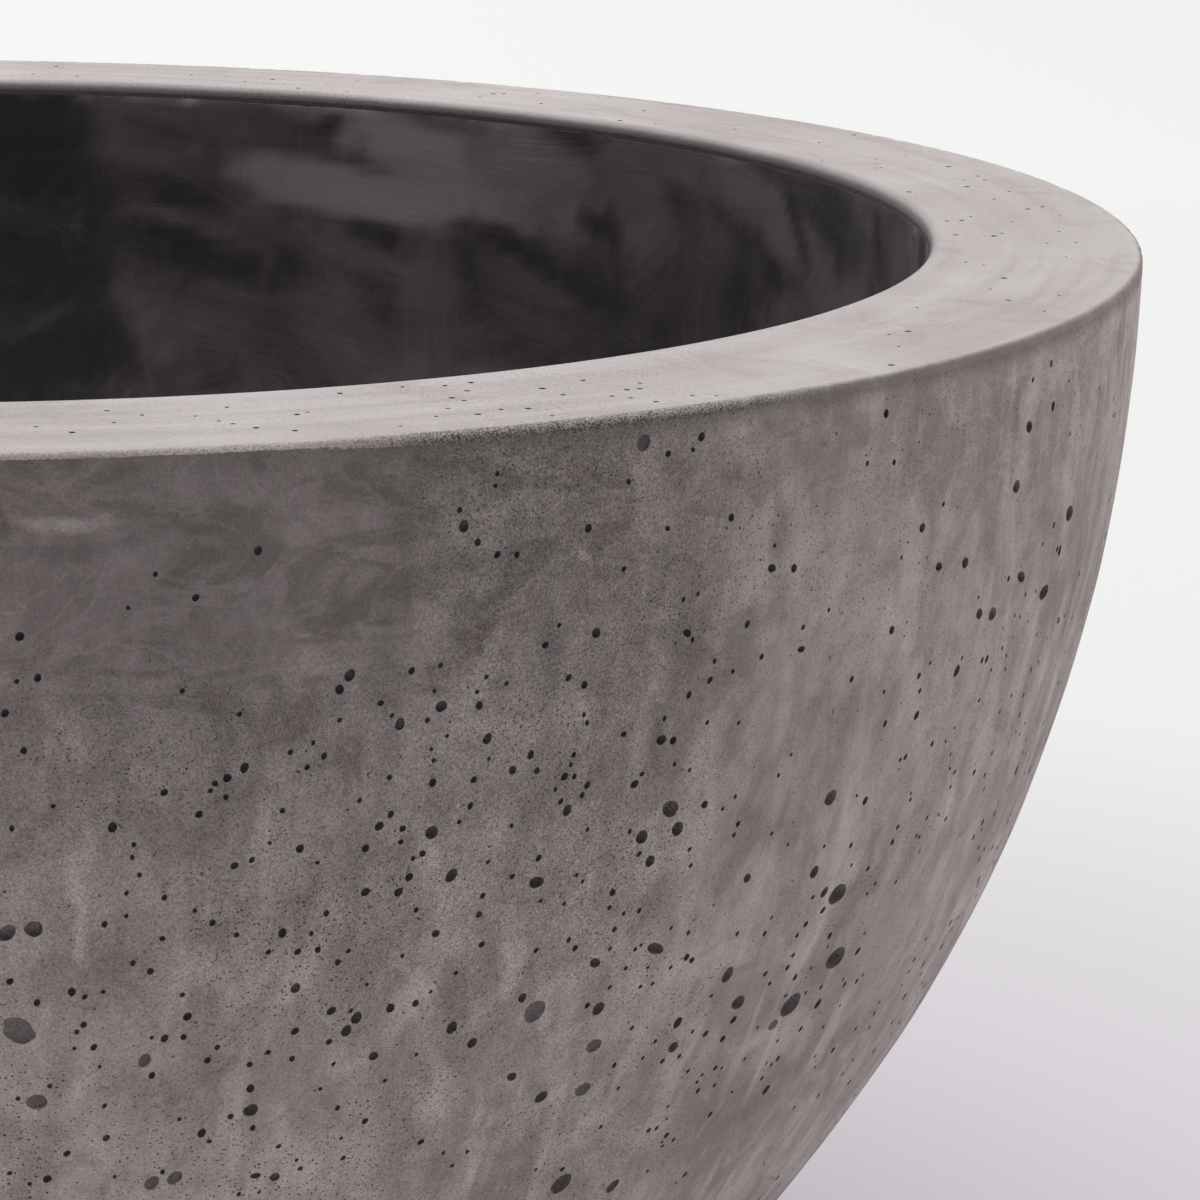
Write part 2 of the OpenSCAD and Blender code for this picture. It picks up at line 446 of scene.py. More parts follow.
# The photograph's plainest hollows, as (x, y) of a pixel and the width and height in pixels
CHIPS = ((19, 1032, 40, 21),)
FILLED = (
    (37, 1103, 21, 15), (644, 443, 14, 17), (535, 1012, 19, 22), (152, 1184, 14, 14), (175, 1179, 14, 14),
    (145, 1062, 12, 14), (595, 1047, 14, 13), (584, 1091, 14, 12),
)
BUBBLES = (
    (34, 931, 19, 16), (7, 935, 17, 17), (672, 810, 16, 16), (442, 707, 11, 12), (663, 741, 10, 10),
    (488, 739, 9, 11), (643, 838, 12, 13), (452, 876, 11, 14), (537, 883, 15, 11), (283, 934, 9, 10),
    (452, 1028, 10, 12), (512, 1077, 10, 8), (598, 634, 9, 10), (340, 690, 9, 11), (480, 706, 8, 9),
    (586, 686, 7, 8), (432, 833, 13, 13), (113, 829, 10, 11), (235, 867, 8, 8), (296, 989, 10, 10),
    (366, 893, 9, 9), (689, 634, 9, 8), (803, 650, 7, 7), (547, 646, 7, 8), (702, 437, 7, 10),
    (669, 454, 6, 7), (694, 450, 5, 5), (630, 482, 6, 6), (460, 510, 6, 7), (669, 529, 6, 6),
    (496, 486, 5, 5), (152, 1049, 10, 10), (188, 1018, 9, 9), (84, 1026, 7, 7), (251, 1090, 8, 9),
    (202, 1134, 9, 9), (165, 1040, 8, 8), (269, 1054, 6, 6), (218, 1049, 6, 6), (67, 1154, 7, 7),
    (256, 1177, 11, 6), (38, 679, 8, 9), (24, 752, 7, 8), (183, 692, 6, 6), (240, 715, 6, 6),
    (291, 753, 6, 7), (216, 785, 7, 7), (12, 830, 6, 7), (105, 926, 7, 7), (163, 940, 7, 6),
    (165, 899, 6, 7), (213, 924, 7, 7), (237, 936, 6, 6), (269, 953, 6, 6), (360, 801, 5, 6),
    (390, 778, 6, 6), (366, 849, 8, 8), (338, 963, 6, 7), (412, 671, 7, 8), (433, 783, 8, 9),
    (403, 829, 7, 7), (423, 854, 7, 7), (399, 893, 9, 9), (436, 934, 8, 8), (531, 755, 7, 9),
    (474, 780, 6, 8), (565, 777, 7, 9), (575, 777, 5, 7), (588, 786, 6, 8), (568, 811, 9, 11),
    (625, 735, 6, 6), (576, 949, 6, 6), (596, 964, 11, 9), (733, 518, 6, 9), (774, 569, 8, 9),
    (796, 569, 6, 9), (749, 625, 5, 8), (923, 528, 6, 9), (940, 567, 6, 9), (966, 563, 6, 11),
    (1018, 487, 7, 12), (1046, 593, 8, 14), (1022, 577, 8, 10), (993, 614, 7, 12), (980, 614, 6, 10),
    (1072, 514, 7, 14), (1031, 427, 6, 12), (833, 799, 10, 15), (839, 895, 14, 18), (837, 959, 14, 19),
    (792, 1006, 14, 20), (657, 950, 18, 10), (657, 966, 15, 12), (740, 1004, 11, 13), (729, 976, 9, 14),
    (816, 873, 7, 12), (651, 862, 9, 12), (562, 1185, 17, 17), (542, 1098, 11, 11), (472, 1043, 9, 10),
    (347, 1032, 10, 12), (357, 1019, 11, 12), (374, 1057, 9, 9), (332, 1012, 9, 9), (391, 1009, 9, 9),
    (675, 1049, 9, 9), (614, 1188, 9, 11),
)
RIM_HOLES = (
    (107, 410), (36, 426), (72, 432), (233, 423), (256, 427), (297, 414), (471, 382), (467, 390),
    (464, 400), (448, 408), (478, 414), (501, 409), (528, 408), (563, 394), (640, 388), (627, 389),
    (656, 401), (552, 415),
)


def wall_radius(down):
    """Distance from the axis at a distance down the wall."""
    return CENTRE[0] + OUTER_R * np.cos(WALL_TOP_A - down / OUTER_R)


def wall_radius_at(up):
    return wall_radius(WALL_S - up)


def rim_radius_at(inward):
    return RIM_OUTER[0] - inward


def seen_hollow(x, y, w, h):
    """(turn, distance down the wall, half width, half height) of a hollow that covers w by h pixels."""
    turn, down = seen_on_wall(x, y)
    half_w = (seen_on_wall(x + w / 2, y)[0] - seen_on_wall(x - w / 2, y)[0]) / 2 * wall_radius(down)
    half_h = (seen_on_wall(x, y + h / 2)[1] - seen_on_wall(x, y - h / 2)[1]) / 2
    return turn, down, half_w, half_h


def wall_hollows(draw):
    """The wall's hollows: the plain ones where the photograph shows them, and the rest at random."""
    spread = Spread()

    def put(turn, down, half_w, half_h, depth, kind, rough, gap):
        """Places a hollow if it stays inside the sheet and clear of the others, and says if it did."""
        up = WALL_S - down
        stretch = BOWL_R / wall_radius(down)
        reach = max(half_w, half_h) * (1 + rough)
        across = turn * BOWL_R
        fits = LOW_MARGIN + reach < up < WALL_S - HIGH_MARGIN - reach
        if not fits or abs(across) > HALF_TURN - SIDE_MARGIN - reach:
            return False
        if not spread.clear(across, up, reach, stretch, gap):
            return False
        tilt = draw.uniform(-0.6, 0.1)
        spread.place(Hollow(across, up, half_w, half_h, depth, kind, tilt, rough, draw))
        return True

    for seen in CHIPS:
        put(*seen_hollow(*seen), depth=1.1, kind="chip", rough=0.22, gap=0.2)
    for seen in FILLED:
        put(*seen_hollow(*seen), depth=0.35, kind="filled", rough=0.08, gap=0.2)
    for seen in BUBBLES:
        turn, down, half_w, half_h = seen_hollow(*seen)
        r = math.sqrt(half_w * half_h)
        kind = bubble_kind(2 * r)
        put(turn, down, half_w, half_h, depth=1.2 * r, kind=kind, rough=0.08, gap=0.12)
    rest = []
    for low, high, per_cm2 in BUBBLE_SIZES:
        area = TAU * (wall_radius(0) + wall_radius(WALL_S)) / 2 * WALL_S / 100
        rest += [(draw.uniform(low, high), "bubble") for _ in range(int(per_cm2 * area))]
    rest += [(draw.uniform(1.8, 3.4), "filled") for _ in range(FILLED_COUNT)]
    rest += [(draw.uniform(3.5, 7), "chip") for _ in range(CHIP_COUNT)]
    rest.sort(key=lambda item: -item[0])
    for diameter, kind in rest:
        for _ in range(TRIES):
            down = draw.uniform(4, WALL_S - 5)
            turn = draw.uniform(-math.pi, math.pi)
            here = spun(np.array([turn]), (wall_radius(down), 0.8 * down))
            crowd = 0.75 + 0.45 * waves(here, 70, 5)[0] + 0.35 * waves(here, 22, 6)[0]
            few = 0.2 + 0.8 * smooth(down, 30, 75)
            if draw.uniform() < crowd * few * wall_radius(down) / BOWL_R:
                r = diameter / 2
                long = draw.uniform(1, 1.16)
                if kind == "bubble":
                    form = {"depth": r * draw.uniform(0.9, 1.5), "kind": bubble_kind(diameter)}
                    done = put(turn, down, r / long, r * long, **form, rough=0.1, gap=0.12)
                elif kind == "filled":
                    done = put(turn, down, r / long, r * long, depth=0.3, kind=kind, rough=0.12, gap=0.2)
                else:
                    form = {"depth": 0.12 * diameter, "kind": kind}
                    done = put(turn, down, r * long, 0.6 * r, **form, rough=0.3, gap=0.2)
                if done:
                    break
    return spread


def rim_hollows(draw):
    """Pinholes in the rim's flat top."""
    spread = Spread()
    tries = [(*seen_on_rim(x, y), draw.uniform(1.0, 1.5)) for x, y in RIM_HOLES]
    for _ in range(PINHOLE_COUNT):
        size = 0.9 + 1.1 * draw.uniform() ** 3
        tries.append((draw.uniform(-math.pi, math.pi), draw.uniform(3.2, FLAT_W - 2), size))
    for turn, inward, size in tries:
        across = turn * BOWL_R
        r = size / 2
        clear = abs(across) < HALF_TURN - 6 and 2.9 < inward < FLAT_W - 1.5
        if clear and spread.clear(across, inward, r, stretch=1.1, gap=0.2):
            spread.place(Hollow(across, inward, r, r, 1.1 * r, "bubble_tiny", 0, 0.12, draw))
    return spread


# ---------------------------------------------------------------- the casting
# The distance between the wall's loose points, the vertices of a ring at the rim's edge and elsewhere, and
# the steps in which the wall's and the rim's sheet are joined to themselves
GRID = 6.9
EDGE_COUNT = 1512
RING_COUNT = 240
WALL_SIDE_STEPS = 44
RIM_SIDE_STEPS = 7
# The rings of the rounded edge, how far each goes along the profile, and where the flat top starts on it
EDGE_STEPS = 5
EDGE_STEP_S = 0.5
TOP_START_S = WALL_S + EDGE_STEPS * EDGE_STEP_S
# How many dents the rough edge has, and the deepest that it is worn back where it turns over
DENTS = 90
DEEPEST_BITE = 1.3
# What the vertices say to the material: how far they are on the rim's top, at its outer edge and in the wash
MARKS = ("rim_top", "arris", "wash")


def loose_points(draw, rows, spread, radius_at):
    """Points for the plain surface between the hollows. rows is a list of (up, how many, jitter)."""
    found = []
    for up, count, jitter in rows:
        across = (np.arange(count) + 0.5) * 2 * HALF_TURN / count - HALF_TURN
        across = across + draw.uniform(-jitter, jitter, count)
        ups = up + draw.uniform(-jitter, jitter, count) * 0.8
        stretch = BOWL_R / radius_at(up)
        for x, y in zip(across, ups):
            if abs(x) < HALF_TURN - 2.5 and spread.clear(x, y, 0, stretch, 0.7 if jitter < 1 else 1.1):
                found.append((x, y))
    return np.array(found)


def sheet_of(skin, spread, counts, height, side_steps, loose, place, radius_at, low_ring=None):
    """Adds an unrolled sheet with its hollows to the skin. counts are the vertices of its low and high edge.
    place(across, up, depth) gives points, how far they are along the profile, and marks. low_ring holds the
    vertices of the low edge if they are there already. Returns the vertices of the two edges and the edges
    that stay sharp."""
    loops, depths, lips = [], [], []
    for h in spread.all:
        stretch = BOWL_R / radius_at(h.up)
        for order, (share, deep, corners) in enumerate(RINGS[h.kind]):
            loops.append(h.ring(share, corners, stretch))
            depths.append(np.full(corners, deep * h.depth))
            lips.append(order == 0)
    points, triangles, joined, starts = unrolled(*counts, height, side_steps, loose, loops)
    depth = np.concatenate([np.zeros(starts[5]), *depths])
    owner = np.full(len(points), -1)
    sharp = []
    hollow_number = -1
    for start, end, lip in zip(starts[5:-1], starts[6:], lips):
        hollow_number += lip
        owner[start:end] = hollow_number
        if lip:
            sharp += [(i, i + 1) for i in range(start, end - 1)] + [(end - 1, start)]
    where, along, marks = place(points[:, 0], points[:, 1], depth)
    number = np.full(len(points), -1)
    if low_ring is not None:
        number[: starts[1] - 1] = low_ring
    fresh = (number < 0) & (joined == np.arange(len(points)))
    number[fresh] = skin.add(where[fresh], points[fresh, 0] / BOWL_R, along[fresh], marks[fresh])
    number = number[joined]
    same = (owner[triangles] == owner[triangles[:, :1]]).all(1) & (owner[triangles[:, 0]] >= 0)
    shade_and_filler = np.array([HOLLOW_SHADE_AND_FILLER[h.kind] for h in spread.all])
    skin.fill(number[triangles], np.where(same, shade_and_filler[owner[triangles[:, 0]]], 0.0))
    low_edge = number[: starts[1] - 1]
    high_edge = number[starts[1] : starts[2] - 1]
    return low_edge, high_edge, number[np.array(sharp)]


def edge_bite(points):
    """How far the rough outer edge of the rim is worn back at each point."""
    bite = 0.07 * np.maximum(0, waves(points, 4, 21, 24))
    bite += 0.12 * np.maximum(0, waves(points, 11, 22, 24) - 0.6)
    draw = np.random.default_rng(24)
    turns = draw.uniform(-math.pi, math.pi, DENTS)
    at = spun(turns, (RIM_OUTER[0] + 1, RIM_Z - 0.8))
    for middle, half, deep in zip(at, draw.uniform(0.8, 2.2, DENTS), draw.uniform(0.2, 0.6, DENTS)):
        gone = np.linalg.norm(points - middle, axis=1) / half
        bite = np.maximum(bite, deep * (1 - smooth(gone, 0.55, 1)))
    return bite


def add_wall(skin, draw):
    """The outer wall, up from the base's edge. Returns its low and high ring and its sharp edges."""
    hollows = wall_hollows(draw)
    rows = [(WALL_S - 0.9, EDGE_COUNT, 0.2), (WALL_S - 2.4, EDGE_COUNT // 2, 0.3)]
    up = 5.0
    while up < WALL_S - 5:
        rows.append((up, int(TAU * wall_radius_at(up) / GRID), 1.2))
        up += GRID * 0.9
    loose = loose_points(draw, rows, hollows, wall_radius_at)

    def place(across, up, depth):
        turn = across / BOWL_R
        a = WALL_LOW_A + up / OUTER_R
        way = np.stack([np.cos(a), np.sin(a)], 1)
        flat = spun(turn, CENTRE + OUTER_R * way)
        swell = 0.22 * (1 + waves(flat, 90, 1)) + 0.1 * (1 + waves(flat, 34, 2))
        swell *= smooth(up, 0, 12) * smooth(WALL_S - up, 0, 16)
        near_edge = 1 - smooth(WALL_S - up, 0.2, 2.0)
        sunk = np.maximum(swell, 0) + depth + near_edge * edge_bite(flat)
        marks = np.stack([0 * up, 1 - smooth(WALL_S - up, 0, 0.9), 0 * up], 1)
        return spun(turn, CENTRE + (OUTER_R - sunk)[:, None] * way), up, marks

    counts = (RING_COUNT, EDGE_COUNT)
    return sheet_of(skin, hollows, counts, WALL_S, WALL_SIDE_STEPS, loose, place, wall_radius_at)


def add_rounded_edge(skin, ring):
    """The rim's rounded outer edge, from the wall's high ring on. Returns its last ring."""
    turns = ring_turns(EDGE_COUNT)
    for step, a in enumerate(np.linspace(WALL_TOP_A, math.pi / 2, EDGE_STEPS + 1)[1:], 1):
        way = np.array((math.cos(a), math.sin(a)))
        flat = spun(turns, RIM_OUTER + RIM_OUTER_R * way)
        bite = np.minimum(edge_bite(flat), DEEPEST_BITE)
        profile = RIM_OUTER + (RIM_OUTER_R - bite)[:, None] * way
        marks = (smooth(a, 0.5, 1.5), 1.0, 0.0)
        after = skin.add(spun(turns, profile), turns, WALL_S + step * EDGE_STEP_S, marks)
        skin.bridge(ring, after)
        ring = after
    return ring


def add_top(skin, draw, ring):
    """The rim's flat top, from the rounded edge's last ring on. Returns its high ring and its sharp edges."""
    hollows = rim_hollows(draw)
    rows = [(0.9, EDGE_COUNT, 0.15), (2.3, EDGE_COUNT // 2, 0.2)]
    rows += [(up, int(TAU * rim_radius_at(up) / 7), 1.2) for up in np.arange(6.5, FLAT_W - 3, 6.5)]
    loose = loose_points(draw, rows, hollows, rim_radius_at)

    def place(across, up, depth):
        turn = across / BOWL_R
        r = rim_radius_at(up)
        flat = spun(turn, np.stack([r, np.full(len(r), RIM_Z)], 1))
        streaks = np.stack([flat[:, 0] * 0.15, flat[:, 1] * 0.15, r], 1)
        sunk = 0.1 * (1 + waves(flat, 48, 31)) + 0.05 * (1 + waves(streaks, 9, 32))
        sunk = np.maximum(sunk, 0) * smooth(up, 0, 6) * smooth(FLAT_W - up, 0, 5)
        near_edge = 1 - smooth(up, 0.1, 1.8)
        sunk = sunk + depth + near_edge * np.minimum(edge_bite(flat), DEEPEST_BITE)
        marks = np.stack([1 + 0 * up, 1 - smooth(up, 0, 0.9), 0 * up], 1)
        return spun(turn, np.stack([r, RIM_Z - sunk], 1)), TOP_START_S + up, marks

    counts = (EDGE_COUNT, RING_COUNT)
    _, high, sharp = sheet_of(
        skin, hollows, counts, FLAT_W, RIM_SIDE_STEPS, loose, place, rim_radius_at, ring
    )
    return high, sharp


def inside_profile():
    """The inner edge, the hollow's side and floor, the drain hole, the underside and the base's edge."""
    hole_low_z = UNDER_Z + RECESS_H
    return np.concatenate([
        arc(RIM_INNER, RIM_INNER_R, math.pi / 2, math.pi + angle_of(RIM_INNER), 7)[1:],
        arc(CENTRE, INNER_R, angle_of(RIM_INNER), angle_of(FILLET), 24)[1:],
        arc(FILLET, FILLET_R, angle_of(FILLET), -math.pi / 2, 5)[1:],
        arc((DRAIN_R + 1, FLOOR_Z - 1), 1, math.pi / 2, math.pi - math.atan(DRAIN_SLOPE), 3),
        [(drain_r(hole_low_z + 1), hole_low_z + 1), (drain_r(hole_low_z) + 0.8, hole_low_z)],
        [(RECESS_R - RECESS_H * RECESS_SLOPE - 0.8, hole_low_z)],
        [(RECESS_R - 2 * RECESS_SLOPE, hole_low_z - 2)],
        [(RECESS_R + 0.5, UNDER_Z), (PAD_RING_R, UNDER_Z)],
        arc(BASE_EDGE, BASE_EDGE_R, -math.pi / 2, WALL_LOW_A, 5)[:-1],
    ])


def make_casting():
    draw = np.random.default_rng(11)
    skin = Skin()
    wall_low, wall_high, wall_sharp = add_wall(skin, draw)
    ring, rim_sharp = add_top(skin, draw, add_rounded_edge(skin, wall_high))

    turns = ring_turns(RING_COUNT)
    top_end = along = TOP_START_S + FLAT_W
    last = (RIM_INNER[0], RIM_Z)
    for point in inside_profile():
        along += max(0.5, math.dist(point, last))
        last = point
        deep = RIM_Z - point[1]
        wash = smooth(deep, 0.3, 2.0) / 2 + smooth(deep, 2.3, 3.4) / 2 if deep < 30 else 0.0
        top = 1 - smooth(deep, 0.5, 5)
        after = skin.add(spun(turns, point), turns, along, (top, 0.0, wash))
        skin.bridge(ring, after)
        ring = after
    skin.bridge(ring, wall_low)
    along += BASE_EDGE_R * 0.3

    casting = skin.build("bowl_casting", MARKS, np.concatenate([wall_sharp, rim_sharp]))
    tidy_map(casting, skin, ((0, WALL_S, 0.37), (WALL_S, top_end, 0.06), (top_end, along, 0.07)))
    return casting


# ---------------------------------------------------------------- lathed pieces
def lathe(name, profile, columns, relief=None):
    """A turned piece. Its profile starts and ends on the axis, with the outer side on its right.
    relief(points, turns, number) moves the points of the ring with this number."""
    skin = Skin()
    turns = ring_turns(columns)
    steps = np.linalg.norm(np.diff(profile, axis=0), axis=1)
    along = np.concatenate([[0], np.cumsum(steps)])
    first = skin.add(spun(np.zeros(1), profile[0]), np.zeros(1), 0.0, ())
    ring = None
    for number in range(1, len(profile) - 1):
        points = spun(turns, profile[number])
        if relief is not None:
            points = relief(points, turns, number)
        after = skin.add(points, turns, along[number], ())
        if ring is None:
            skin.cap(after[::-1], first[0])
        else:
            skin.bridge(ring, after)
        ring = after
    last = skin.add(spun(np.zeros(1), profile[-1]), np.zeros(1), along[-1], ())
    skin.cap(ring, last[0])
    return skin.build(name, ())


# ---------------------------------------------------------------- the coat
# The plainest strokes in the coat, as (x, y) of the middle's pixel, length and width in pixels, lean in
# degrees and how pale it is
BROAD_STROKES = (
    (10, 200, 300, 110, 88, 0.0), (60, 190, 240, 90, 84, 0.02), (90, 330, 160, 70, 60, 0.04),
    (20, 300, 260, 150, 88, 0.0), (300, 330, 360, 90, 12, 0.3), (430, 330, 200, 70, 80, 0.36),
    (560, 330, 260, 70, 10, 0.24), (700, 290, 200, 90, 75, 0.2), (150, 112, 130, 34, 8, 0.34),
    (190, 150, 220, 40, 14, 0.24), (337, 106, 200, 30, 5, 0.7), (350, 127, 80, 20, 10, 0.15),
    (350, 190, 270, 44, 6, 1.05), (470, 200, 180, 36, 6, 0.92), (420, 150, 190, 46, 7, 0.95),
    (547, 180, 190, 80, 20, 0.75), (640, 190, 160, 70, 60, 0.6), (197, 192, 110, 34, 4, 0.1),
    (193, 250, 200, 36, 14, 0.06), (300, 240, 200, 30, 12, 0.16), (380, 262, 200, 26, 16, 0.36),
    (553, 268, 230, 26, 20, 0.08), (603, 228, 70, 24, 15, 0.1), (640, 222, 70, 18, 60, 0.5),
    (707, 200, 90, 26, 65, 0.42), (760, 262, 90, 22, 82, 0.17), (800, 225, 110, 20, 50, 0.1),
    (843, 252, 80, 18, 78, 0.2), (880, 235, 80, 24, 60, 0.08),
)
# The strokes under and over these at random, as (how many, lengths, widths, leans, tone of the palest, shape
# of the tones' beta draw, strength, bend)
UNDER_STROKES = (1100, (30, 90), (7, 20), (0.0, 0.4, 1.2, -0.5, 1.57), 0.75, (1.6, 3), 0.8, 0.0022)
OVER_STROKES = (420, (25, 70), (3, 9), (0.1, 0.35, 1.3, -0.3), 0.9, (1.5, 2), 0.12, 0.003)
BRUSH_COLUMNS = 560
SIDE_ROWS = 92
FILLET_ROWS = 11
FLOOR_ROWS = 29
# The thickest that the brushed coat gets over its thinnest, and its marks for the material
RELIEF_T = 0.34
STROKE_MARKS = ("tone", "stroke_u", "stroke_v")
# The tone of the coat without a stroke, and how far along the profile its map starts
PLAIN_TONE = 0.3
MAP_LEAD = 4


def random_strokes(draw, end, count, lengths, widths, leans, palest, shape, strength, bend):
    """Strokes at random places down to end, as (turn, distance down, half length, half width, lean, tone,
    strength, bend)."""
    made = []
    for _ in range(count):
        where = (draw.uniform(-math.pi, math.pi), draw.uniform(-10, end))
        size = (draw.uniform(*lengths), draw.uniform(*widths))
        lean = draw.choice(leans) + draw.normal() * 0.2
        made.append((*where, *size, lean, palest * draw.beta(*shape), strength, draw.normal() * bend))
    return made


def seen_strokes():
    """The strokes that the photograph shows, in the same form."""
    made = []
    for x, y, length, width, lean, tone in BROAD_STROKES:
        turn, down, pixel = seen_in_hollow(x, y)
        size = (length * pixel * 0.62, width * pixel * 0.75)
        made.append((turn, down, *size, math.radians(lean), tone, 0.85, 0.0004))
    return made


def brushed(draw, strokes, turns, down, radii):
    """Lays the strokes over each other on a grid of turns and distances down. Returns the height, the tone
    and the place along and across the stroke at each point of the grid."""
    turn, depth_down = np.meshgrid(turns, down, indexing="ij")
    height = np.zeros(turn.shape)
    tone = np.full(turn.shape, PLAIN_TONE)
    streak = np.stack([turn * 250, depth_down], -1)
    for middle_turn, middle_down, half_l, half_w, lean, shade, strength, bend in strokes:
        load = draw.uniform(0.08, 0.2)
        row = np.argmin(abs(down - middle_down))
        near = abs(down - middle_down) < half_l + half_w
        x = (middle_turn - turn + math.pi) % TAU - math.pi
        x = x[:, near] * max(radii[row], 40)
        y = depth_down[:, near] - middle_down
        u = x * math.cos(lean) + y * math.sin(lean)
        v = -x * math.sin(lean) + y * math.cos(lean) + bend * u * u
        ragged = half_l * (1 + 0.12 * np.sin(v * 1.7 + middle_down) + 0.08 * np.sin(v * 4.1))
        cover = (1 - smooth(np.abs(v) / half_w, 0.35, 1.0)) * (1 - smooth(np.abs(u) / ragged, 0.3, 1.0))
        ridge = load * (0.45 + 0.55 * smooth(np.abs(v) / half_w, 0.6, 0.92))
        height[:, near] = height[:, near] * (1 - cover) + ridge * cover
        tone[:, near] = tone[:, near] * (1 - strength * cover) + shade * strength * cover
        solid = cover > 0.5
        patch = streak[:, near]
        patch[solid] = np.stack([u[solid] * 0.12, v[solid] + middle_down * 3], 1)
        streak[:, near] = patch
    flat = np.concatenate([streak, 0 * turn[..., None]], -1).reshape(-1, 3)
    bristle = waves(flat, 3.2, 42, 20).reshape(turn.shape)
    height = np.clip(height + 0.035 * bristle, 0, RELIEF_T) * smooth(depth_down, 0, 4)
    return height, tone, streak


def make_coat():
    """The brushed waterproof coat: strokes laid over each other, each with its own tone and raised sides."""
    draw = np.random.default_rng(41)
    thin = INNER_R - COAT_T
    side = arc(CENTRE, thin, COAT_TOP_A, angle_of(FILLET), SIDE_ROWS)
    fillet = arc(FILLET, FILLET_R - COAT_T, angle_of(FILLET), -math.pi / 2, FILLET_ROWS)[1:]
    hole_r = DRAIN_R + COAT_MARGIN
    floor_r = np.linspace(FILLET[0], hole_r + 0.6, FLOOR_ROWS)[1:]
    level = FLOOR_Z + COAT_T
    floor = np.stack([floor_r, np.full(len(floor_r), level)], 1)
    profile = np.concatenate([side, fillet, floor])
    steps = np.linalg.norm(np.diff(profile, axis=0), axis=1)
    down = np.concatenate([[0], np.cumsum(steps)])
    heading = np.gradient(profile, axis=0)
    heading /= np.linalg.norm(heading, axis=1)[:, None]
    out = np.stack([-heading[:, 1], heading[:, 0]], 1)

    strokes = random_strokes(draw, down[-1], *UNDER_STROKES) + seen_strokes()
    strokes += random_strokes(draw, down[-1], *OVER_STROKES)
    turns = ring_turns(BRUSH_COLUMNS)
    height, tone, streak = brushed(draw, strokes, turns, down, profile[:, 0])

    # The brushed side, from an uneven top edge down to the hole, and the back that lies on the casting
    skin = Skin()
    rings = []
    edge = 0.55 * (1 + waves(spun(turns, profile[0]), 14, 43)) / 2
    for row in range(len(profile)):
        sunk = (COAT_T - 0.4) * (1 - smooth(down[row], 0, 14)) + RELIEF_T - height[:, row]
        line = profile[row] + out[row] * sunk[:, None]
        if row == 0:
            line[:, 1] -= edge
        marks = np.stack([tone[:, row], streak[:, row, 0] / 100, streak[:, row, 1] / 100], 1)
        rings.append(skin.add(spun(turns, line), turns, down[row] + MAP_LEAD, marks))
    back = np.concatenate([
        [(hole_r, level - 0.5), (hole_r, FLOOR_Z)],
        arc(FILLET, FILLET_R, -math.pi / 2, angle_of(FILLET), 5),
        arc(CENTRE, INNER_R, angle_of(FILLET), COAT_TOP_A, 12),
    ])
    front_end = along = down[-1] + MAP_LEAD
    last = profile[-1]
    for point in back:
        along += max(1.0, math.dist(point, last))
        last = point
        rings.append(skin.add(spun(turns, point), turns, along, (PLAIN_TONE, 0.0, 0.0)))
    for low, high in zip(rings, rings[1:] + rings[:1]):
        skin.bridge(low, high)
    coat = skin.build("brushed_coat", STROKE_MARKS)
    tidy_map(coat, skin, ((0, front_end, 0.42), (front_end, along + 2, 0.08)))
    return coat


# ---------------------------------------------------------------- rubber pieces
def make_stopper():
    """The loose rubber stopper: tapered stem, flange with a bead and a ball grip with its mould line."""
    low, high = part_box("drain_stopper")
    foot_z, top_z = low.z / MM, high.z / MM
    flange_r = high.x / MM
    seat_z = FLOOR_Z + COAT_T
    flange_top = seat_z + 4
    ball_r, neck_r, gap = 10, 6.5, 0.3
    ball = (0, top_z - ball_r)
    neck_a = -math.acos(neck_r / ball_r)
    stem_r = drain_r(foot_z) - gap
    profile = [(0, foot_z + 3), (stem_r * 0.45, foot_z + 3), (stem_r * 0.62, foot_z + 1.6)]
    profile += [(stem_r * 0.7, foot_z + 0.3), (stem_r * 0.76, foot_z)]
    profile += arc((stem_r - 2, foot_z + 2), 2, -math.pi / 2, 0, 6).tolist()
    for z in np.linspace(foot_z + 6, seat_z - 4, 4):
        side = drain_r(z) - gap
        profile += [(side, z - 0.9), (side - 0.35, z - 0.5), (side - 0.35, z + 0.5), (side, z + 0.9)]
    profile += [(drain_r(seat_z) - gap, seat_z - 0.6), (drain_r(seat_z) - gap + 0.5, seat_z)]
    profile += [(flange_r - 7, seat_z), (flange_r - 6.4, seat_z + 0.35), (flange_r - 5.4, seat_z + 0.35)]
    profile += [(flange_r - 4.8, seat_z), (flange_r - 1.2, seat_z)]
    profile += arc((flange_r - 1.2, seat_z + 1.2), 1.2, -math.pi / 2, 0, 5).tolist()
    profile += arc((flange_r - 2, flange_top - 2), 2, 0, math.pi / 2, 6).tolist()
    profile += [(flange_r - 6, flange_top), (flange_r - 6.6, flange_top - 0.4)]
    profile += [(flange_r - 7.6, flange_top - 0.4), (flange_r - 8.2, flange_top)]
    profile += arc((neck_r + 2, flange_top + 2), 2, -math.pi / 2, -math.pi, 6).tolist()
    profile += arc(ball, ball_r, neck_a, math.pi / 2, 26).tolist()
    profile = np.array(profile)
    profile[-1, 0] = 0

    def relief(points, turns, number):
        """Leaves a mould line up two sides of the grip. The rest of the grip is a hair inside it."""
        if profile[number, 1] < flange_top + 2.5:
            return points
        seam = np.exp(-((np.sin(turns) / 0.035) ** 2))
        shrink = 1 - (0.16 * (1 - seam) / max(profile[number, 0], 2))
        points[:, :2] *= shrink[:, None]
        return points

    return lathe("rubber_stopper", profile, 144, relief)


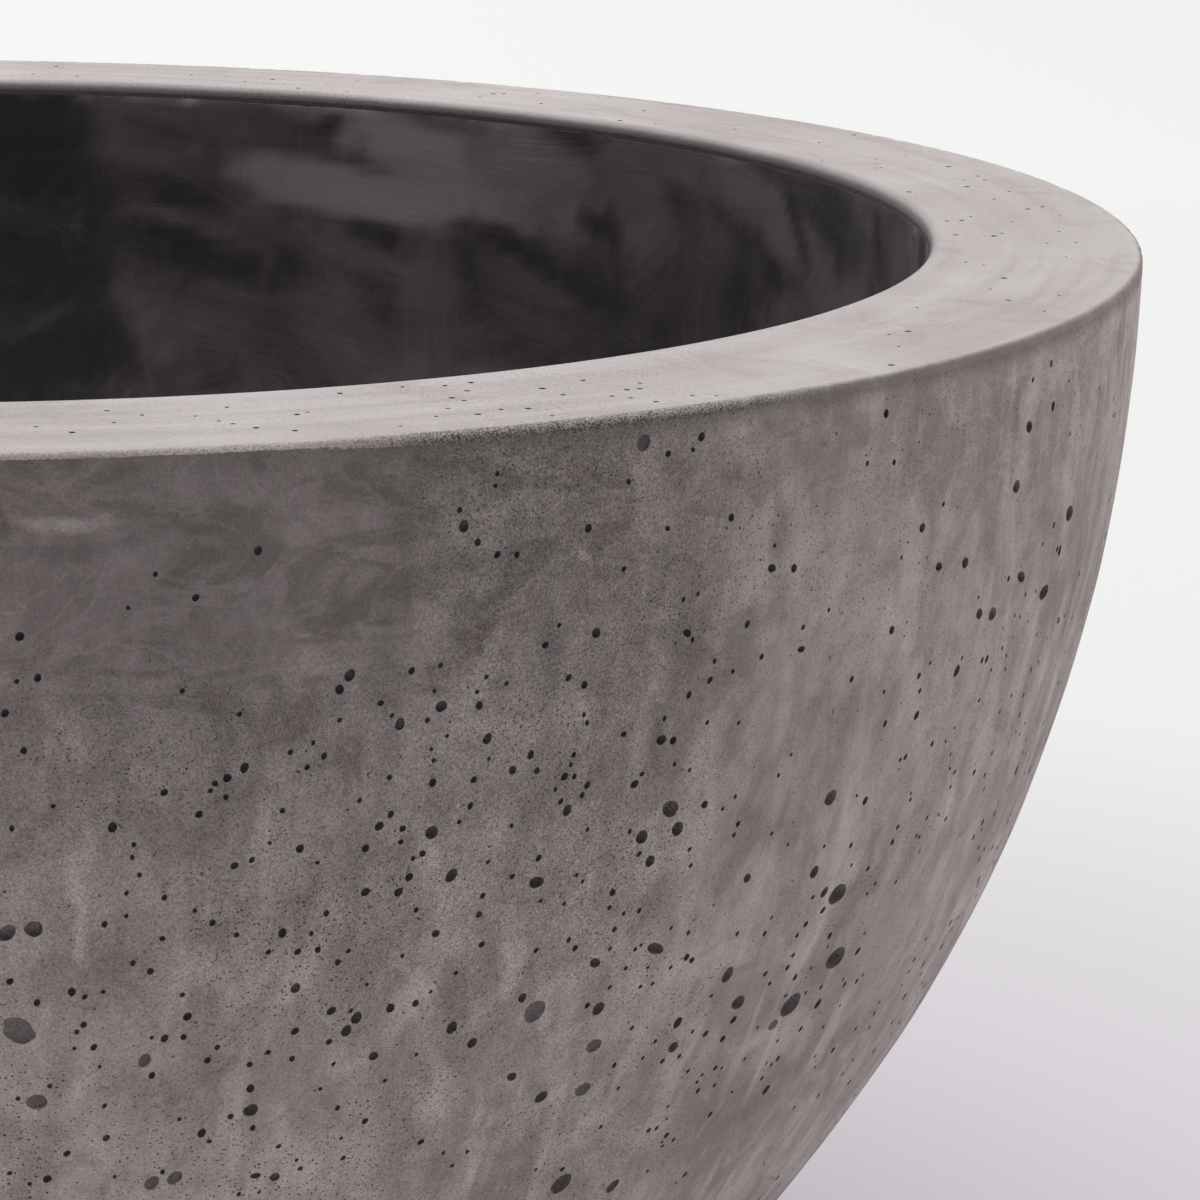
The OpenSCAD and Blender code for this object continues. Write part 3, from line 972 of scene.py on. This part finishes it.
def make_pad(name, node):
    """A glued rubber pad with a rounded edge and ring grooves underneath."""
    low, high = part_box(node)
    middle = np.array(((low.x + high.x) / 2, (low.y + high.y) / 2)) / MM
    chamfer, groove = 0.8, 0.35
    profile = [(0, 0.0)]
    for r in np.arange(3.5, PAD_R - 3, 3.6):
        profile += [(r - 0.7, 0), (r - 0.35, groove), (r + 0.35, groove), (r + 0.7, 0)]
    profile += arc((PAD_R - chamfer, chamfer), chamfer, -math.pi / 2, 0, 5).tolist()
    profile += [(PAD_R, PAD_T - 0.5), (PAD_R - 0.15, PAD_T - 0.12), (PAD_R - 0.5, PAD_T), (0, PAD_T)]
    pad = lathe(name, np.array(profile, float), 72)
    for vertex in pad.data.vertices:
        vertex.co.x += middle[0] * MM
        vertex.co.y += middle[1] * MM
    return pad


# ---------------------------------------------------------------- materials
# The photograph's plainest pale rubs and dark stains on the wall, as the pixels of both ends, the width in
# pixels and the strength
PALE_RUBS = (
    (40, 700, 32, 800, 14, 0.8), (88, 810, 80, 985, 26, 0.75), (140, 830, 158, 930, 16, 0.55),
    (10, 520, 100, 518, 24, 0.8), (430, 820, 440, 900, 40, 0.7), (510, 600, 470, 700, 30, 0.5),
    (572, 540, 585, 575, 22, 0.8), (590, 680, 575, 760, 20, 0.5), (530, 930, 500, 990, 34, 0.8),
    (440, 1060, 450, 1120, 44, 0.6), (230, 1080, 225, 1150, 30, 0.4), (720, 500, 700, 620, 14, 0.5),
    (790, 610, 770, 780, 26, 0.4), (700, 740, 690, 780, 30, 0.4), (290, 670, 300, 720, 24, 0.4),
    (895, 480, 880, 560, 12, 0.5), (1045, 330, 1012, 520, 46, 0.6),
)
DARK_STAINS = (
    (0, 555, 120, 550, 26, 0.8), (120, 545, 190, 530, 20, 0.7), (410, 565, 490, 560, 30, 0.9),
    (550, 545, 556, 552, 24, 0.8), (680, 560, 672, 690, 26, 0.8), (660, 690, 650, 800, 26, 0.7),
    (550, 620, 540, 700, 34, 0.5), (520, 780, 505, 840, 34, 0.4), (410, 930, 460, 990, 60, 0.6),
    (180, 920, 190, 950, 40, 0.4), (660, 880, 640, 920, 30, 0.5), (930, 630, 870, 750, 30, 0.5),
    (830, 820, 810, 880, 22, 0.6), (730, 470, 770, 480, 34, 0.6), (800, 1040, 740, 1120, 50, 0.4),
    (250, 465, 280, 470, 30, 0.4), (350, 600, 200, 610, 20, 0.35), (500, 1130, 540, 1190, 40, 0.5),
    (668, 850, 650, 1030, 44, 0.5), (905, 600, 890, 700, 40, 0.5), (785, 490, 775, 560, 30, 0.5),
)


class Value:
    """What a socket gives. Arithmetic with it adds math nodes to the same tree."""

    def __init__(self, nodes, socket):
        self.nodes, self.socket = nodes, socket

    def __add__(self, other):
        return self.nodes.math("ADD", self, other)

    def __sub__(self, other):
        return self.nodes.math("SUBTRACT", self, other)

    def __mul__(self, other):
        return self.nodes.math("MULTIPLY", self, other)

    def __truediv__(self, other):
        return self.nodes.math("DIVIDE", self, other)


class Nodes:
    """Fills the node tree of a new material or world."""

    def __init__(self, owner):
        owner.use_nodes = True
        self.owner, self.tree = owner, owner.node_tree
        self.tree.nodes.clear()

    def add(self, kind, inputs, **settings):
        """A new node. inputs says what each socket gets, by the socket's name or number."""
        made = self.tree.nodes.new("ShaderNode" + kind)
        for name, value in settings.items():
            setattr(made, name, value)
        for name, value in inputs.items():
            socket = made.inputs[name]
            if isinstance(value, Value):
                self.tree.links.new(value.socket, socket)
            elif value is not None:
                socket.default_value = (*value, 1) if socket.type == "RGBA" else value
        return made

    def out(self, kind, inputs, which=0, **settings):
        """One output of a new node."""
        return Value(self, self.add(kind, inputs, **settings).outputs[which])

    def parts(self, vector):
        return [Value(self, socket) for socket in self.add("SeparateXYZ", {0: vector}).outputs]

    def math(self, operation, a, b=None, clamp=False):
        return self.out("Math", {0: a, 1: b}, operation=operation, use_clamp=clamp)

    def vector(self, operation, a, b=None, c=None):
        return self.out("VectorMath", {0: a, 1: b, 2: c}, operation=operation)

    def length(self, vector):
        return self.out("VectorMath", {0: vector}, "Value", operation="LENGTH")

    def step(self, value, low, high, a=0.0, b=1.0, curve="SMOOTHSTEP"):
        """a where value is under low, b where it is over high, and a curve between."""
        inputs = {"Value": value, "From Min": low, "From Max": high, "To Min": a, "To Max": b}
        return self.out("MapRange", inputs, interpolation_type=curve)

    def mix(self, share, a, b, blend="MIX"):
        return self.out("Mix", {0: share, 6: a, 7: b}, 2, data_type="RGBA", blend_type=blend)

    def times(self, colour, factor):
        return self.mix(1, colour, factor, "MULTIPLY")

    def layered(self, colour, layers):
        """The colour under layers of (pattern, where it starts to show, where it shows most, share, tint)."""
        for pattern, low, high, most, tint in layers:
            colour = self.mix(self.step(pattern, low, high, 0, most), colour, tint)
        return colour

    def blend(self, share, a, b):
        return self.out("MixShader", {0: share, 1: a, 2: b})

    def noise(self, vector, length, detail=2.0, rough=0.5, bend=0.0, which="Fac"):
        """Noise whose patches are about length millimetres wide."""
        inputs = {"Vector": vector, "Scale": 1 / (length * MM), "Detail": detail, "Roughness": rough}
        return self.out("TexNoise", {**inputs, "Distortion": bend}, which)

    def specks(self, vector, length, size, share):
        """Round specks of up to size millimetres across, in a share of the cells of this length."""
        cell = self.add("TexVoronoi", {"Vector": vector, "Scale": 1 / (length * MM)})
        distance, colour = (Value(self, cell.outputs[name]) for name in ("Distance", "Color"))
        red, green, _ = self.parts(colour)
        inside = (green + 0.4) * (size / 2.8 / length) - distance
        return self.step(inside, 0.0, 0.12 / length) * self.math("LESS_THAN", red, share)

    def joined(self, x, y, z):
        return self.out("CombineXYZ", {0: x, 1: y, 2: z})

    def bump(self, height, distance, before=None):
        inputs = {"Height": height, "Distance": distance * MM, "Strength": 1, "Normal": before}
        return self.out("Bump", inputs)


class Paint(Nodes):
    """A material. Its places are in metres, as its objects' meshes are."""

    def __init__(self, name):
        super().__init__(bpy.data.materials.new(name))
        self.place = self.out("TexCoord", {}, "Object")
        self.x, self.y, self.z = self.parts(self.place)

    def scaled(self, *factors):
        return self.vector("MULTIPLY", self.place, factors)

    def mark(self, name):
        return self.out("Attribute", {}, "Fac", attribute_name=name)

    def from_axis(self):
        return self.math("SQRT", self.x * self.x + self.y * self.y) + 1e-6

    def drawn_up(self, radius, up):
        """A place in which a pattern is drawn out up the wall: up is the share of the height that counts.
        Round the axis the pattern keeps the width that it has at the radius."""
        away = self.from_axis()
        across = [axis / away * (radius * MM) for axis in (self.x, self.y)]
        return self.joined(*across, self.z * up)

    def bent(self, length, by):
        """The place, shifted to and fro by about this many millimetres."""
        shift = self.noise(self.place, length, 4, which="Color")
        far = self.vector("MULTIPLY_ADD", shift, (4 * by * MM,) * 3, self.place)
        return self.vector("SUBTRACT", far, (2 * by * MM,) * 3)

    def rubs(self, place, seen):
        """The sum of soft rubs, each from one pixel's place on the wall to another's."""
        total = 0.0
        for x0, y0, x1, y1, width, strength in seen:
            start, pixel = point_on_wall(x0, y0)
            end, _ = point_on_wall(x1, y1)
            along = Vector((end - start) * MM)
            half = width * pixel * MM / 2
            local = {
                "Vector": place,
                "Location": (start + end) / 2 * MM,
                "Rotation": along.to_track_quat("X", "Z").to_euler(),
                "Scale": (along.length / 2 + half, half, half),
            }
            away = self.length(self.out("Mapping", local, vector_type="TEXTURE"))
            total = self.step(away, 0.3, 1.3, strength, 0) + total
        return total

    def finish(self, colour, roughness, normal, specular, metallic=0.0):
        inputs = {"Base Color": colour, "Roughness": roughness, "Metallic": metallic, "Normal": normal}
        shader = self.out("BsdfPrincipled", {**inputs, "Specular IOR Level": specular})
        self.add("OutputMaterial", {"Surface": shader})
        return self.owner


def under_rim(distance):
    """The height, in metres, at this many millimetres under the rim."""
    return (RIM_Z - distance) * MM


def wall_colour(p, cloud, blotch, mottle):
    """Clouds, blotches and streaks, a dark band with smears and veins under the rim, rubs and stains, and
    painted light and shade.
    """
    up_side = p.step(p.from_axis(), 0.12, 0.16)
    streak = (p.noise(p.drawn_up(290, 0.3), 13, 3, 0.5, 0.4) - 0.5) * up_side + 0.5
    run = p.noise(p.drawn_up(290, 0.14), 7, 2, 0.45, 0.3) * up_side
    vein = p.math("ABSOLUTE", p.noise(p.scaled(1, 1, 1.8), 30, 3, 0.5, 1.4) - 0.5)
    smear = p.noise(p.scaled(1, 1, 2.2), 34, 6, 0.62, 1.6)
    colour = p.mix(p.step(cloud, 0.32, 0.68), (0.215, 0.18, 0.174), (0.31, 0.264, 0.256))
    colour = p.layered(colour, (
        (blotch, 0.5, 0.66, 0.6, (0.175, 0.142, 0.137)),
        (blotch, 0.47, 0.3, 0.52, (0.41, 0.35, 0.342)),
        (streak, 0.52, 0.7, 0.52, (0.43, 0.368, 0.358)),
        (streak, 0.48, 0.3, 0.5, (0.175, 0.142, 0.138)),
        (mottle, 0.5, 0.66, 0.38, (0.16, 0.133, 0.128)),
        (mottle, 0.5, 0.33, 0.28, (0.41, 0.358, 0.348)),
    ))
    near_rim = p.step(p.z + (blotch - 0.5) * 0.07, under_rim(68), under_rim(34))
    # Partly a stain and partly painted shade: a dark band under the rim, strongest at the left and fading to
    # the right
    band = near_rim * (p.step(p.x, 0.0, 0.2, 1, 0.08) * 0.6)
    colour = p.mix(band, colour, (0.15, 0.122, 0.118))
    dark_smear = p.step(smear, 0.5, 0.6) * (near_rim * 0.6) * p.step(p.x, 0.13, 0.2, 1, 0.3)
    colour = p.mix(dark_smear, colour, (0.13, 0.105, 0.1))
    pale_vein = p.step(vein, 0.0, 0.05, 1, 0) * p.step(near_rim, 0, 1, 0.02, 0.16)
    colour = p.mix(pale_vein, colour, (0.42, 0.362, 0.352))
    pale_run = p.step(run, 0.54, 0.7) * p.step(p.noise(p.place, 50, 1), 0.42, 0.6)
    pale_run = pale_run * p.step(near_rim, 0.9, 0.2, 0.05, 0.42)
    colour = p.mix(pale_run, colour, (0.44, 0.385, 0.376))
    bent = p.bent(18, 4)
    patchy = p.step(mottle, 0.35, 0.6, 0.4, 0.66)
    for rubs, tint in ((DARK_STAINS, (0.12, 0.1, 0.097)), (PALE_RUBS, (0.5, 0.438, 0.426))):
        colour = p.mix(p.math("MULTIPLY", p.rubs(bent, rubs), patchy, True), colour, tint)
    # Painted light and shade on the left and front: darker towards the rim, lighter lower down and lighter
    # still at the far left
    painted_light_gradient = p.step(p.z, under_rim(135), under_rim(58), 1.09, 0.78) * p.step(p.x, 0.01, 0.05, 1.15, 1)
    colour = p.mix(p.step(p.x, 0.11, 0.2, 1, 0.15), colour, p.times(colour, painted_light_gradient))
    # Painted light: the wall near the rim is painted lighter at the right
    return p.times(colour, near_rim * p.step(p.x, 0.15, 0.22, 0, 0.14) + 1)


def top_colour(p, cloud, blotch, mottle):
    """The trowelled top: paler than the wall, partly as trowelled concrete and partly as painted light from
    above, with faint rings and smudges.
    """
    ring = p.noise(p.joined(p.x * 0.07, p.y * 0.07, p.from_axis()), 6, 3, 0.5, 0.2)
    colour = p.mix(p.step(cloud, 0.3, 0.7), (0.415, 0.373, 0.365), (0.49, 0.45, 0.442))
    colour = p.layered(colour, (
        (ring, 0.5, 0.7, 0.45, (0.37, 0.322, 0.317)),
        (ring, 0.46, 0.3, 0.35, (0.55, 0.515, 0.505)),
        (blotch, 0.53, 0.7, 0.45, (0.36, 0.312, 0.306)),
        (mottle, 0.56, 0.72, 0.2, (0.34, 0.295, 0.29)),
    ))
    # Painted shade: the top is a little darker towards the right
    return p.times(colour, p.step(p.x, 0.1, 0.3, 1, 0.93))


def sandy_edge(p, arris, crumb):
    """The worn edge's colour and where it shows: pale at the left, and gritty in the middle, where the upper
    half of the round is painted lighter and the lower half darker as light and shade.
    """
    in_middle = p.step(p.x, 0.07, 0.1) * p.step(p.x, 0.21, 0.16)
    # Painted light and shade: the upper half of the round is painted lighter, the lower half darker
    painted_lit_upper = p.step(p.z, under_rim(1.8), under_rim(0.3))
    gaps = p.mix(painted_lit_upper, (0.04, 0.034, 0.033), (0.07, 0.06, 0.058))
    gaps = p.mix(in_middle, (0.36, 0.31, 0.295), gaps)
    crumbs = p.mix(painted_lit_upper, (0.19, 0.16, 0.155), (0.48, 0.42, 0.41))
    crumbs = p.mix(in_middle, (0.58, 0.52, 0.5), crumbs)
    broken = (p.noise(p.place, 1.6, 3, 0.6) - 0.5) * 1.1
    narrow = p.step(p.z, under_rim(1.4), under_rim(0.7), 1, 0) * p.step(p.x, 0.1, 0.06)
    worn = p.step(p.noise(p.place, 45, 3, 0.6), 0.3, 0.6, 0.55, 0.95) * p.step(p.x, 0.19, 0.145, 0.1, 1)
    shown = p.step(arris + broken - narrow, 0.25, 0.6) * worn
    return p.mix(p.step(crumb, 0.4, 0.58), gaps, crumbs), shown


def concrete():
    """The casting's material, from the wall up over the edge and the top to the washed inner edge."""
    p = Paint("cast_concrete")
    top, arris, wash, hollow = (p.mark(name) for name in (*MARKS, "hollow"))
    cloud = p.noise(p.place, 85, 2, 0.5, 0.3)
    blotch = p.noise(p.place, 24, 5, 0.62, 0.9)
    mottle = p.noise(p.scaled(1, 1, 0.5), 6.5, 4, 0.6, 0.4)
    colour = p.mix(top, wall_colour(p, cloud, blotch, mottle), top_colour(p, cloud, blotch, mottle))

    # The painted shadow line under the edge, the sandy edge itself, and the thin wash of coat over the inner
    # edge
    # Painted shadow: a dark line just under the rim's outer edge
    under = p.step(p.z, under_rim(6.2), under_rim(1.2)) * p.step(p.from_axis(), 0.28, 0.29)
    under = under * p.math("SUBTRACT", 1, top, True) * p.step(p.x, 0.06, 0.1, 0.15, 0.75)
    colour = p.mix(under, colour, (0.115, 0.096, 0.093))
    crumb = p.noise(p.place, 0.42, 3, 0.7)
    sandy, shown = sandy_edge(p, arris, crumb)
    colour = p.mix(shown, colour, sandy)
    wash = wash + (p.noise(p.place, 6, 3, 0.6) - 0.5) * 0.35 * p.step(wash, 0, 0.2)
    colour = p.layered(colour, (
        (wash, 0.04, 0.5, 0.9, (0.25, 0.215, 0.235)),
        (wash, 0.6, 0.9, 1, (0.155, 0.131, 0.145)),
    ))

    # Fine grain, coarser in the middle of the photographed side and finer near the rim at its left
    sparse = p.math("MAXIMUM", p.step(p.z, under_rim(65), under_rim(25), 1, 0.2), p.step(p.x, 0.07, 0.11))
    plain = p.step(top, 0.2, 0.8, 1, 0.4) * p.step(p.x, 0.13, 0.18, 1, 0.6)
    plain = plain * p.math("MAXIMUM", p.step(sparse, 0.2, 1, 0.5, 1), top)
    crisp = p.step(p.x, 0.06, 0.11, 1, 1.3) * p.step(p.x, 0.13, 0.17, 1, 0.65)
    crisp = crisp * p.step(p.z, under_rim(135), under_rim(95), 0.7, 1)
    grain = p.noise(p.place, 0.9, 2, 0.7)
    sand = p.noise(p.place, 0.4, 1, 0.5)
    shade = (grain - 0.5) * (plain * 0.7) + (sand - 0.5) * (plain * 1.5)
    colour = p.times(colour, shade * crisp + 1)

    # Stippled micro pores and pinpricks painted near-black as the shade inside them, a few rust specks, and
    # painted shade with some dark dust inside the hollows, with the filled bubbles' darker filler
    stipple = p.specks(p.place, 0.75, 0.6, 0.9) * sparse * p.step(p.noise(p.place, 30), 0.4, 0.58, 0.2, 1)
    prick = p.specks(p.place, 2.0, 0.7, 0.75) * p.step(p.noise(p.place, 8, 1), 0.4, 0.52)
    prick = prick * p.step(p.noise(p.place, 40), 0.36, 0.6, 0.5, 1) * p.step(top, 0.6, 0.1, 0.3, 1)
    prick = prick * p.math("MAXIMUM", sparse, top)
    rust = p.specks(p.scaled(1.1, 1.1, 1.1), 16, 1.3, 0.3)
    # Painted shade: the micro pores and pinpricks are painted near-black
    colour = p.mix(stipple * plain, colour, (0.045, 0.038, 0.037))
    colour = p.mix(prick * 0.95, colour, (0.014, 0.012, 0.012))
    colour = p.mix(rust * 0.7, colour, (0.22, 0.11, 0.045))
    # Painted shade with some dark dust in the bubbles and chips, and the filled bubbles' darker filler
    colour = p.mix(hollow * 0.92, colour, (0.016, 0.014, 0.016))

    height = (grain * 0.5 + sand * 0.2) * plain + shown * (crumb * 4) - prick * 5 - stipple * 0.9
    normal = p.bump(blotch, 0.5, p.bump(height, 0.08))
    return p.finish(colour, p.step(blotch, 0.3, 0.7, 0.74, 0.9), normal, 0.3)


def coat_paint():
    p = Paint("brushed_coat")
    tone, u, v = (p.mark(name) for name in STROKE_MARKS)
    stroke = p.joined(u, v, 0.0)
    bristle = p.noise(p.vector("MULTIPLY", stroke, (0.5, 1, 1)), 22, 4, 0.6)
    fine = p.noise(p.vector("MULTIPLY", stroke, (0.25, 1, 1)), 8, 2, 0.5)
    worn = p.noise(p.scaled(1, 1, 1.6), 60, 4, 0.55, 0.9)
    level = tone + (bristle - 0.5) * 0.2 + (worn - 0.5) * 0.45
    colour = p.mix(p.step(level, 0.0, 0.9), (0.012, 0.01, 0.013), (0.4, 0.338, 0.37))
    # Painted light and shade: the coat is painted lighter near the rim and darker towards the right
    colour = p.times(colour, p.step(p.z, under_rim(120), under_rim(30), 1, 1.24))
    colour = p.times(colour, p.step(p.x, 0.14, 0.22, 1, 0.7))
    dust = p.noise(p.place, 14, 5, 0.65)
    colour = p.layered(colour, ((dust, 0.52, 0.8, 0.22, (0.26, 0.228, 0.245)),))
    return p.finish(colour, p.step(level, 0.1, 0.9, 0.6, 0.8), p.bump(bristle + fine * 0.5, 0.1), 0.3)


def rubber(name, dark, light, dusty):
    p = Paint(name)
    cloud = p.noise(p.place, 7, 4, 0.6, 0.4)
    colour = p.mix(p.step(cloud, 0.35, 0.7), dark, light)
    dust = p.step(p.noise(p.place, 2.2, 5, 0.7), 0.52, 0.75) * dusty
    colour = p.mix(dust, colour, (0.24, 0.22, 0.21))
    grain = p.noise(p.place, 0.35, 3, 0.6)
    return p.finish(colour, p.step(cloud, 0.3, 0.7, 0.5, 0.68), p.bump(grain, 0.05), 0.45)


def rusty_steel():
    p = Paint("bar_steel")
    rust = p.step(p.noise(p.place, 8, 5, 0.65, 0.5), 0.46, 0.6)
    pits = p.noise(p.place, 0.8, 3, 0.7)
    bloom = p.mix(p.step(pits, 0.35, 0.65), (0.12, 0.045, 0.02), (0.27, 0.11, 0.045))
    colour = p.mix(rust, (0.2, 0.195, 0.19), bloom)
    metallic = p.step(rust, 0.2, 0.8, 0.9, 0.05)
    return p.finish(colour, p.step(rust, 0, 1, 0.42, 0.85), p.bump(pits, 0.12), 0.5, metallic)


# ---------------------------------------------------------------- stage
# Distances from the bowl's axis, in metres, between which the floor, painted darker near the bowl as shadow,
# fades into white, at which the white has its full tone, and at which the floor ends
FLOOR_NEAR = 0.31
FLOOR_FAR = 0.9
PAPER_FAR = 2.5
FLOOR_REACH = 9.0
RAYS_SHOWN = ("Camera", "Glossy", "Transmission")


def shown_rays(n):
    """1 for a ray from the camera or from a glossy or clear surface, and 0 for one that carries light."""
    path = n.add("LightPath", {}).outputs
    camera, glossy, clear = (Value(n, path[f"Is {kind} Ray"]) for kind in RAYS_SHOWN)
    return n.math("MAXIMUM", n.math("MAXIMUM", camera, glossy), clear)


def stage_material():
    """A pale floor that keeps the bowl's shadow, is painted darker near the bowl as more shadow, and goes
    over into white away from it, painted a little dimmer towards +X.
    """
    p = Paint("studio_floor")
    away = p.length(p.place)
    far = p.step(away, FLOOR_NEAR, FLOOR_FAR, 0.12, 1.0)
    paper = p.step(away, FLOOR_FAR, PAPER_FAR, 0.885, 0.93, "LINEAR")
    # Painted light falloff: the white is a little dimmer towards +X
    dimmer = p.step(p.x, 0.3, 1.3, 1.0, 0.955, "LINEAR")
    light = p.out("BsdfDiffuse", {"Color": (0.93, 0.92, 0.94)})
    # Painted shadow: near the bowl the camera sees a darker floor colour than the one that carries light
    shaded = p.out("BsdfDiffuse", {"Color": (0.6, 0.57, 0.61)})
    white = p.out("Emission", {"Color": (1, 0.997, 0.99), "Strength": paper * dimmer})
    p.add("OutputMaterial", {"Surface": p.blend(shown_rays(p), light, p.blend(far, shaded, white))})
    return p.owner


def make_stage():
    mesh = bpy.data.meshes.new("studio_floor")
    r = FLOOR_REACH
    mesh.from_pydata([(-r, -r, 0), (r, -r, 0), (r, r, 0), (-r, r, 0)], [], [(0, 1, 2, 3)])
    mesh.materials.append(stage_material())
    floor = bpy.data.objects.new("studio_floor", mesh)
    bpy.context.scene.collection.objects.link(floor)


def make_world():
    """Dim light from in front and brighter light from behind and the right. The camera sees it white."""
    world = bpy.data.worlds.new("studio")
    bpy.context.scene.world = world
    n = Nodes(world)
    x, y, _ = n.parts(n.out("TexCoord", {}, "Generated"))
    level = n.step(x * 0.8 + y, -0.5, 1.0, 0.08, 1.0)
    light = n.out("Background", {"Color": (0.98, 0.97, 1), "Strength": level})
    white = n.out("Background", {"Color": (0.93, 0.925, 0.918)})
    n.add("OutputWorld", {"Surface": n.blend(shown_rays(n), light, white)})


def make_lamp(name, at, aim, width, power):
    data = bpy.data.lights.new(name, "AREA")
    data.shape = "SQUARE"
    data.size = width
    data.energy = power
    lamp = bpy.data.objects.new(name, data)
    lamp.location = at
    lamp.rotation_euler = (Vector(aim) - Vector(at)).to_track_quat("-Z", "Y").to_euler()
    lamp.visible_camera = False
    bpy.context.scene.collection.objects.link(lamp)


# ---------------------------------------------------------------- the scene
def fit_out(piece, body, slot, paint, *nodes):
    piece.data.materials.clear()
    piece.data.materials.append(paint)
    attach(piece, body)
    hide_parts(*nodes)


make_camera()
fit_out(make_casting(), "bowl", "concrete", concrete(), "bowl_shell")
fit_out(make_coat(), "bowl", "waterproof_coat", coat_paint(), "inner_coat")
stopper_paint = rubber("stopper_rubber", (0.018,) * 3, (0.04, 0.039, 0.041), 0.12)
fit_out(make_stopper(), "stopper", "stopper_rubber", stopper_paint, "drain_stopper")
pad_paint = rubber("pad_rubber", (0.03, 0.03, 0.031), (0.06, 0.059, 0.06), 0.3)
for node in sorted(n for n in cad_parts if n.startswith("foot_pad_")):
    fit_out(make_pad(node.replace("foot", "rubber"), node), "bowl", "pad_rubber", pad_paint, node)
steel = rusty_steel()
for name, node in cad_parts.items():
    if name.startswith(("rib_", "base_bar_")) or name.endswith("_hoop"):
        for slot in node.material_slots:
            slot.material = steel

make_stage()
make_world()
make_lamp("overhead_softbox", (0.2, 0.3, 1.75), (0.02, 0.05, 0.3), 1.7, 23)
make_lamp("low_card", (0.1, -0.8, 0.03), (0.05, -0.22, 0.14), 0.45, 0.95)
make_lamp("right_card", (1.35, -0.25, 0.35), (0.2, 0.0, 0.2), 0.7, 2.4)
bpy.context.scene.view_settings.view_transform = "Standard"
